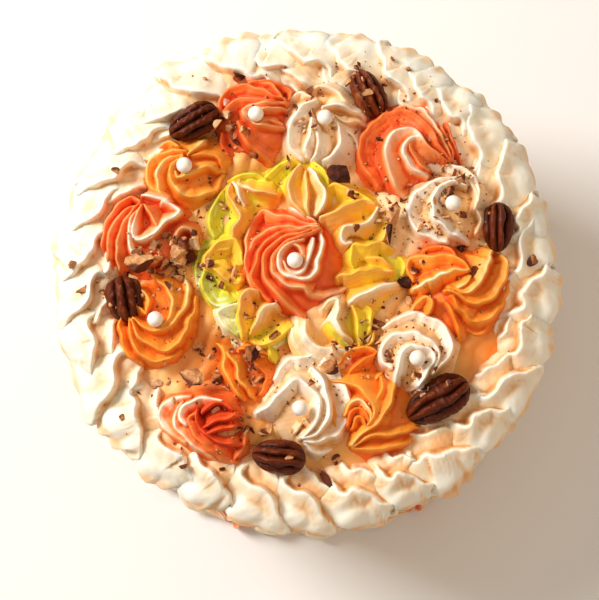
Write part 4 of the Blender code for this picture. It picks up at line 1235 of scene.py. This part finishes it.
def nutFinish(name, stops, gloss, shine):
    # crest is 1 on bare flesh and on the back of a ridge, 0 deep in a furrow; on a pecan the near-black
    # furrows are painted shade and the lighter ridge backs a painted highlight
    finish = Finish(name, Specular_IOR_Level=shine)
    crest = finish.attribute("crest")
    tone = finish.attribute("tone")
    cloud = finish.noise(190.0, 3.0, 0.6)
    grain = finish.noise(900.0, 3.0, 0.65)
    shade = crest * 0.42 + tone * 0.50 + (cloud - 0.5) * 0.5 + (grain - 0.5) * 0.35
    colour = finish.ramp(shade, *stops)
    normal = finish.bump(grain + cloud, 0.25 * mm, 0.8)
    return finish.feed(Base_Color=colour, Roughness=gloss + cloud * 0.25, Normal=normal)


pecanSkin = nutFinish("pecanSkin", (
    (0.05, (0.008, 0.0015, 0.0008)), (0.42, (0.042, 0.006, 0.001)), (0.70, (0.14, 0.021, 0.003)),
    (1.00, (0.52, 0.14, 0.03))), 0.32, 0.18)
nutFlesh = nutFinish("nutFlesh", (
    (0.05, (0.035, 0.006, 0.002)), (0.32, (0.17, 0.036, 0.010)), (0.54, (0.46, 0.17, 0.055)),
    (0.72, (0.74, 0.40, 0.17)), (0.95, (0.86, 0.62, 0.38))), 0.55, 0.25)

# yaw and roll in degrees; ridges run along the half and close at its ends
pecans = {
    "pecan_1": dict(yaw=30, roll=6, length=23, width=13.4, paler=0.00),
    "pecan_2": dict(yaw=-62, roll=-10, length=22, width=13.0, paler=0.25),
    "pecan_3": dict(yaw=88, roll=-8, length=21, width=12.6, paler=0.04),
    "pecan_4": dict(yaw=31, roll=-6, length=29, width=16.5, paler=0.05),
    "pecan_5": dict(yaw=-8, roll=4, length=22.4, width=14.2, paler=0.05),
    "pecan_6": dict(yaw=100, roll=8, length=19.5, width=15.4, paler=0.08),
}
pecanShape = {"stations": 90, "around": 120, "ridges": 3, "furrow": 0.52, "rise": 8.2 * mm,
              "belly": 1.2 * mm, "sunk": 0.38, "tone": 0.42}


def shellPecans():
    for number, (node, spec) in enumerate(pecans.items()):
        middle, size = place(node)
        share = np.linspace(-0.995, 0.995, pecanShape["stations"])[:, None]
        angle = circle(pecanShape["around"])[None, :]
        plan = (1.0 - np.abs(share) ** 3.0) ** 0.58 * (1.0 + 0.12 * share)
        half = spec["width"] / 2 * mm
        length = spec["length"] / 2 * mm
        rough = np.broadcast_arrays(share * length, np.cos(angle) * half, np.sin(angle) * half)
        rough = np.stack(rough, axis=-1)
        wander = 0.16 * waves(rough, 15 * mm, 300 + number) + 0.05 * waves(rough, 5 * mm, 320 + number)
        across = np.cos(angle) * mix(1.0, plan, 0.45) + wander * 0.5
        groove = np.abs(np.cos((across * 0.5 + 0.5) * math.pi * pecanShape["ridges"])) ** 0.42
        groove = np.where(np.sin(angle) > -0.15, groove, 1.0)
        furrow = pecanShape["furrow"] * (1.0 + 0.4 * waves(rough, 9 * mm, 340 + number))
        reach = 1.0 - furrow * (1.0 - groove)
        reach = reach * (1.0 + 0.035 * waves(rough, 3.2 * mm, 360 + number))
        out = half * plan * np.cos(angle) * (0.25 + 0.75 * reach)
        top = pecanShape["rise"] * plan ** 0.9 * np.sin(angle) * reach
        up = np.where(np.sin(angle) > 0.0, top, pecanShape["belly"] * plan * np.sin(angle))
        roll = math.radians(spec["roll"])
        out, up = out * math.cos(roll) - up * math.sin(roll), out * math.sin(roll) + up * math.cos(roll)
        yaw = math.radians(spec["yaw"])
        along = np.broadcast_to(share * length, out.shape)
        rings = np.stack([
            middle[0] + along * math.cos(yaw) - out * math.sin(yaw),
            middle[1] + along * math.sin(yaw) + out * math.cos(yaw),
            middle[2] - size[2] * pecanShape["sunk"] + up], axis=-1)
        piece = Piece()
        # the groove value turns the furrows near black in the finish: painted shade
        piece.addSkin(rings, pecanShape["tone"] + spec["paler"], groove)
        dress(node.replace("_", "") + "Half", piece.mesh(node, pecanSkin), "pecan", node)


shellPecans()
print("pecans laid:", len(pecans))


chunk = {"cuts": 9, "ball": 0.62, "cutAt": (0.17, 0.38), "lean": 0.25}


def chunkPoints(sides, around, seed):
    # a broken lump about one across: a ball cut flat by a few planes, brown skin on one side
    draw = np.random.default_rng(seed)
    share = np.linspace(0.04, 0.96, sides)[:, None] * math.pi
    bearing = circle(around)[None, :]
    ball = np.stack(np.broadcast_arrays(
        np.sin(share) * np.cos(bearing), np.sin(share) * np.sin(bearing), np.cos(share)), axis=-1)
    lump = ball * chunk["ball"]
    for _ in range(chunk["cuts"]):
        plane = draw.normal(size=3)
        plane /= np.linalg.norm(plane)
        over = np.maximum(lump @ plane - draw.uniform(*chunk["cutAt"]), 0.0)
        lump = lump - over[..., None] * plane
    lump = lump * (1.0 + 0.06 * waves(ball, 0.9, seed + 1) + 0.04 * waves(ball, 0.4, seed + 2))[..., None]
    skinSide = draw.normal(size=3)
    skinSide /= np.linalg.norm(skinSide)
    flesh = 1.0 - smooth(ball @ skinSide, -0.05, 0.15)
    return lump, flesh


def addChunk(piece, middle, yaw, size, seed, paler, sides=11, around=16):
    lump, flesh = chunkPoints(sides, around, seed)
    lump = lump * np.array(size)
    tilt = np.random.default_rng(seed).normal(size=2) * chunk["lean"]
    cos, sin = math.cos(yaw), math.sin(yaw)
    turn = np.array([[cos, -sin, 0.0], [sin, cos, 0.0], [0.0, 0.0, 1.0]])
    lean = np.array([[1.0, 0.0, tilt[0]], [0.0, 1.0, tilt[1]], [-tilt[0], -tilt[1], 1.0]])
    rings = lump @ lean.T @ turn.T + np.array(middle)
    piece.addSkin(rings, paler, flesh)


# yaw in degrees, size in mm; paler lifts the colour towards bare flesh
bigNuts = {
    "nut_1": dict(yaw=82, size=(11, 6, 6), paler=0.45),
    "nut_2": dict(yaw=40, size=(10, 8.5, 7), paler=0.50),
    "nut_3": dict(yaw=10, size=(9.5, 8, 7), paler=0.52),
    "nut_4": dict(yaw=-8, size=(11.5, 5.8, 6), paler=0.22),
    "nut_5": dict(yaw=52, size=(11, 9, 7), paler=0.12),
    "nut_6": dict(yaw=35, size=(9, 7.5, 6.5), paler=0.45),
}


def bigNutPieces():
    for number, (node, spec) in enumerate(bigNuts.items()):
        middle = place(node)[0]
        piece = Piece()
        size = np.array(spec["size"]) * mm * 1.05
        addChunk(piece, middle, math.radians(spec["yaw"]), size, 400 + number, spec["paler"], 18, 26)
        dress(node.replace("_", "") + "Piece", piece.mesh(node, nutFlesh, True), "nut_flesh", node)


bigNutPieces()

# chopped pieces on the icing: x and y from the middle rosette's pearl, yaw, length, width, paleness
choppedNuts = (
    (-23, 79, 20, 6, 4.5, 0.1), (-92, -1, 10, 4, 3, 0.15), (-88, -12, 30, 6, 3.5, 0.2),
    (70, 6, 60, 6, 4, 0.1), (72, -5, 30, 6, 4, 0.42), (49, -9, 5, 9, 4.5, 0.08), (98, 2, 50, 5, 4, 0.0),
    (13, -91, -52, 13, 5, 0.3), (-25, -71, 15, 11, 3.5, 0.2), (-12, -69, 40, 6, 4.5, 0.35),
    (-34, -61, 50, 5, 4, 0.45), (-58, -49, 40, 6, 4, 0.5), (-32, -48, 70, 7, 4, 0.2),
    (-41, -35, 30, 5, 4, 0.4), (-46, -84, 10, 4, 3, 0.3), (6, -51, 20, 4, 3, 0.2), (-54, 1, 80, 8, 4, 0.35),
    (-34, 58, 60, 6, 5, 0.5), (68, 33, 40, 6, 4, 0.3), (60, 26, 20, 5, 4, 0.5), (70, 20, 100, 5, 4, 0.5),
    (7, 61, 110, 4, 3, 0.3), (9, 56, 80, 4, 3, 0.35), (8, 74, 20, 6, 4.5, 0.5), (-27, 57, 20, 5, 4, 0.5),
    (-22, 55, 130, 4, 3, 0.5), (-29, 63, 60, 5, 4, 0.5), (38, 12, 85, 9, 3.5, 0.15), (52, 14, 60, 4, 3, 0.3),
    (25, 15, 100, 4, 2.5, 0.4), (-24, 25, 70, 5, 3, 0.5), (-26, -5, 80, 7, 3, 0.35),
    (-30, -8, 60, 5, 3, 0.5), (-36, -2, 40, 4, 3, 0.2), (30, -32, 40, 5, 4, 0.15), (35, -34, 10, 4, 3, 0.4),
    (33, -24, 150, 9, 3, 0.45), (40, -41, 30, 4, 3, 0.5), (50, -48, 0, 5, 3, 0.3), (-16, 46, 0, 4, 3, 0.0),
    (16, -43, 20, 8, 5, 0.2), (-42, 9, 20, 7, 5, 0.5), (-44, 3, 60, 6, 5, 0.4), (-50, -6, 30, 5, 4, 0.25),
    (-66, 3, 0, 5, 4, 0.5), (-60, -2, 45, 5, 4, 0.35), (-70, -4, 80, 4, 3, 0.3), (-8, -30, 40, 5, 3, 0.3),
    (30, 70, 20, 5, 3, 0.3), (38, 76, 60, 4, 3, 0.2), (-74, 38, 30, 4, 3, 0.3), (47, -15, 110, 5, 3, 0.4),
)
# heaps of small chips: x and y as above, spread, how many
chipHeaps = (
    (-50, 2, 8, 26), (-60, -2, 6, 8), (-26, 57, 5, 8), (62, 28, 6, 12), (68, 34, 3, 5), (39, 20, 5, 8),
    (-32, -44, 9, 14), (6, 58, 6, 8), (29, -33, 7, 12), (-36, -9, 5, 7), (20, -38, 5, 6), (-12, -69, 7, 8),
    (-52, -50, 6, 5), (50, -4, 6, 6), (52, -50, 4, 5), (30, 76, 5, 5), (-4, 40, 4, 3), (27, 28, 3, 3),
    (12, -82, 4, 4), (57, 18, 4, 6),
)
# where crumbs were thrown: x, y, spread in mm, how many
crumbDrifts = (
    (60, 30, 11, 420), (8, 66, 13, 160), (-52, 8, 11, 420), (-28, -40, 14, 320), (22, -38, 12, 220),
    (40, 24, 12, 300), (-20, 84, 17, 160), (30, 84, 14, 120), (-60, 55, 18, 120), (-45, -60, 18, 120),
    (45, 60, 14, 120), (50, -8, 12, 160), (44, -34, 10, 260), (-3, -54, 13, 140), (-70, -12, 12, 160),
    (-32, 22, 10, 100), (-22, -24, 9, 160), (54, 50, 7, 260), (-35, 60, 9, 160), (0, 0, 60, 160),
    (26, 66, 9, 100), (30, -18, 9, 140),
)
# how far out crumbs lie, how clear of a pearl, how far below the deck, and where the rim is felt for
crumbRule = {"edge": 100 * mm, "clear": 3.6 * mm, "below": 4 * mm,
             "sides": ((2.4, 0), (-2.4, 0), (0, 2.4), (0, -2.4))}
crumbTones = (0.32, 0.5, 0.62, 0.72, 0.88, 0.45)
pearlSpots = np.array([place(f"pearl_{number + 1}")[0][:2] for number in range(pearlShape["count"])])


def dropOn(x, y, clear=0.0):
    # height and normal of the icing under a point, none if it is within clear of a pearl
    if np.linalg.norm(pearlSpots - (x, y), axis=1).min() < clear:
        return None, None
    graph = bpy.context.evaluated_depsgraph_get()
    above, down = Vector((x, y, 0.3)), Vector((0.0, 0.0, -1.0))
    found, spot, normal = bpy.context.scene.ray_cast(graph, above, down)[:3]
    return (np.array(spot), np.array(normal)) if found else (None, None)


def scatterNuts():
    origin = place("pearl_1")[0]
    piece = Piece()
    for number, (x, y, yaw, length, width, paler) in enumerate(choppedNuts):
        spot, normal = dropOn(origin[0] + x * mm, origin[1] + y * mm)
        if spot is None:
            continue
        size = np.array((length, width, width * 0.85)) * mm * 1.1
        middle = spot + normal * 0.34 * width * mm
        addChunk(piece, middle, math.radians(yaw), size, 500 + number, paler * 1.5)
    draw = np.random.default_rng(77)
    for x, y, spread, count in chipHeaps:
        for _ in range(count):
            across, up = draw.normal(size=2) * spread
            length = draw.uniform(2.2, 5.6)
            width = length * draw.uniform(0.35, 0.75)
            yaw, paler = draw.uniform(0.0, 3.14), draw.choice((0.25, 0.45, 0.65, 0.9))
            spot, normal = dropOn(origin[0] + (x + across) * mm, origin[1] + (y + up) * mm, 5.5 * mm)
            if spot is not None and spot[2] > deck:
                size = np.array((length, width, width * 0.7)) * mm
                middle = spot + normal * 0.2 * width * mm
                addChunk(piece, middle, yaw, size, int(draw.integers(9999)), paler)
    dress("choppedNuts", piece.mesh("choppedNuts", nutFlesh, True), "nut_flesh")


def scatterCrumbs():
    draw = np.random.default_rng(21)
    points, turns, sizes = [], [], []
    for x, y, spread, count in crumbDrifts:
        for _ in range(count * 3 // 5):
            across, up = draw.normal(size=2) * spread * mm
            turn = draw.uniform(0.0, 6.28, 3)
            grown = min(draw.lognormal(-0.35, 0.60), 2.6) * mm
            if math.hypot(x * mm + across, y * mm + up) > crumbRule["edge"]:
                continue
            spot, normal = dropOn(x * mm + across, y * mm + up, crumbRule["clear"])
            if spot is None or spot[2] < deck - crumbRule["below"]:
                continue
            # crumbs roll into the hollows
            rim = [dropOn(spot[0] + dx * mm, spot[1] + dy * mm)[0] for dx, dy in crumbRule["sides"]]
            rim = [near[2] for near in rim if near is not None]
            if np.mean(rim) - spot[2] < draw.uniform(-1.4, 0.8) * mm:
                continue
            points.append(spot + normal * grown * 0.2)
            turns.append(turn)
            sizes.append(grown * draw.uniform(0.6, 1.3, 3))
    shapes = []
    for kind, tone in enumerate(crumbTones):
        crumb = Piece()
        lump, flesh = chunkPoints(5, 7, 600 + kind)
        crumb.addSkin(lump, tone, flesh)
        shapes.append(crumb.mesh(f"crumbKind{kind}", nutFlesh, True))
    mesh = standShapes("nutCrumbs", points, turns, sizes, shapes, nutFlesh, 0.0, 5)
    dress("nutCrumbs", mesh, "nut_flesh")
    print("crumbs thrown:", len(points))


bpy.context.view_layer.update()
scatterNuts()
scatterCrumbs()


def softLight(name, place, size, watts, colour, target=(0.0, 0.0, 0.05)):
    data = bpy.data.lights.new(name, "AREA")
    data.size = size
    data.energy = watts
    data.color = colour
    lamp = bpy.data.objects.new(name, data)
    bpy.context.scene.collection.objects.link(lamp)
    lamp.location = place
    lamp.rotation_euler = (Vector(place) - Vector(target)).to_track_quat("Z", "Y").to_euler()
    return lamp


def room():
    bpy.ops.mesh.primitive_plane_add(size=6.0, location=(0.0, 0.0, -0.0005))
    floor = bpy.context.object
    floor.name = "floor"
    finish = Finish("paleFloor", Roughness=0.8)
    cloud = finish.noise(3.0, 2.0)
    floor.data.materials.append(finish.feed(Base_Color=finish.ramp(
        cloud, (0.3, (0.86, 0.855, 0.85)), (0.7, (0.90, 0.895, 0.89)))))
    softLight("window", (-1.25, 0.66, 1.14), 0.66, 38.0, (1.0, 0.985, 0.96))
    softLight("overhead", (0.1, 0.1, 1.3), 1.2, 3.5, (1.0, 0.93, 0.84))
    softLight("warmSide", (0.9, -0.4, 0.5), 0.8, 1.8, (1.0, 0.72, 0.48))
    world = bpy.data.worlds.new("softRoom")
    bpy.context.scene.world = world
    world.use_nodes = True
    world.node_tree.nodes["Background"].inputs["Color"].default_value = (1.0, 0.83, 0.66, 1.0)
    world.node_tree.nodes["Background"].inputs["Strength"].default_value = 0.27
    bpy.context.scene.view_settings.view_transform = "Standard"


view = {"elevation": 84.5, "distance": 0.851, "lens": 108.6, "aim": (-3.3 * mm, 0.0, 0.0)}


def camera():
    data = bpy.data.cameras.new("camera")
    data.lens = view["lens"]
    data.sensor_width = 36.0
    thing = bpy.data.objects.new("camera", data)
    bpy.context.scene.collection.objects.link(thing)
    up = math.radians(view["elevation"])
    back = Vector((0.0, -math.cos(up), math.sin(up)))
    thing.location = Vector(view["aim"]) + back * view["distance"]
    thing.rotation_euler = back.to_track_quat("Z", "Y").to_euler()
    bpy.context.scene.camera = thing


room()
camera()
bpy.context.view_layer.update()
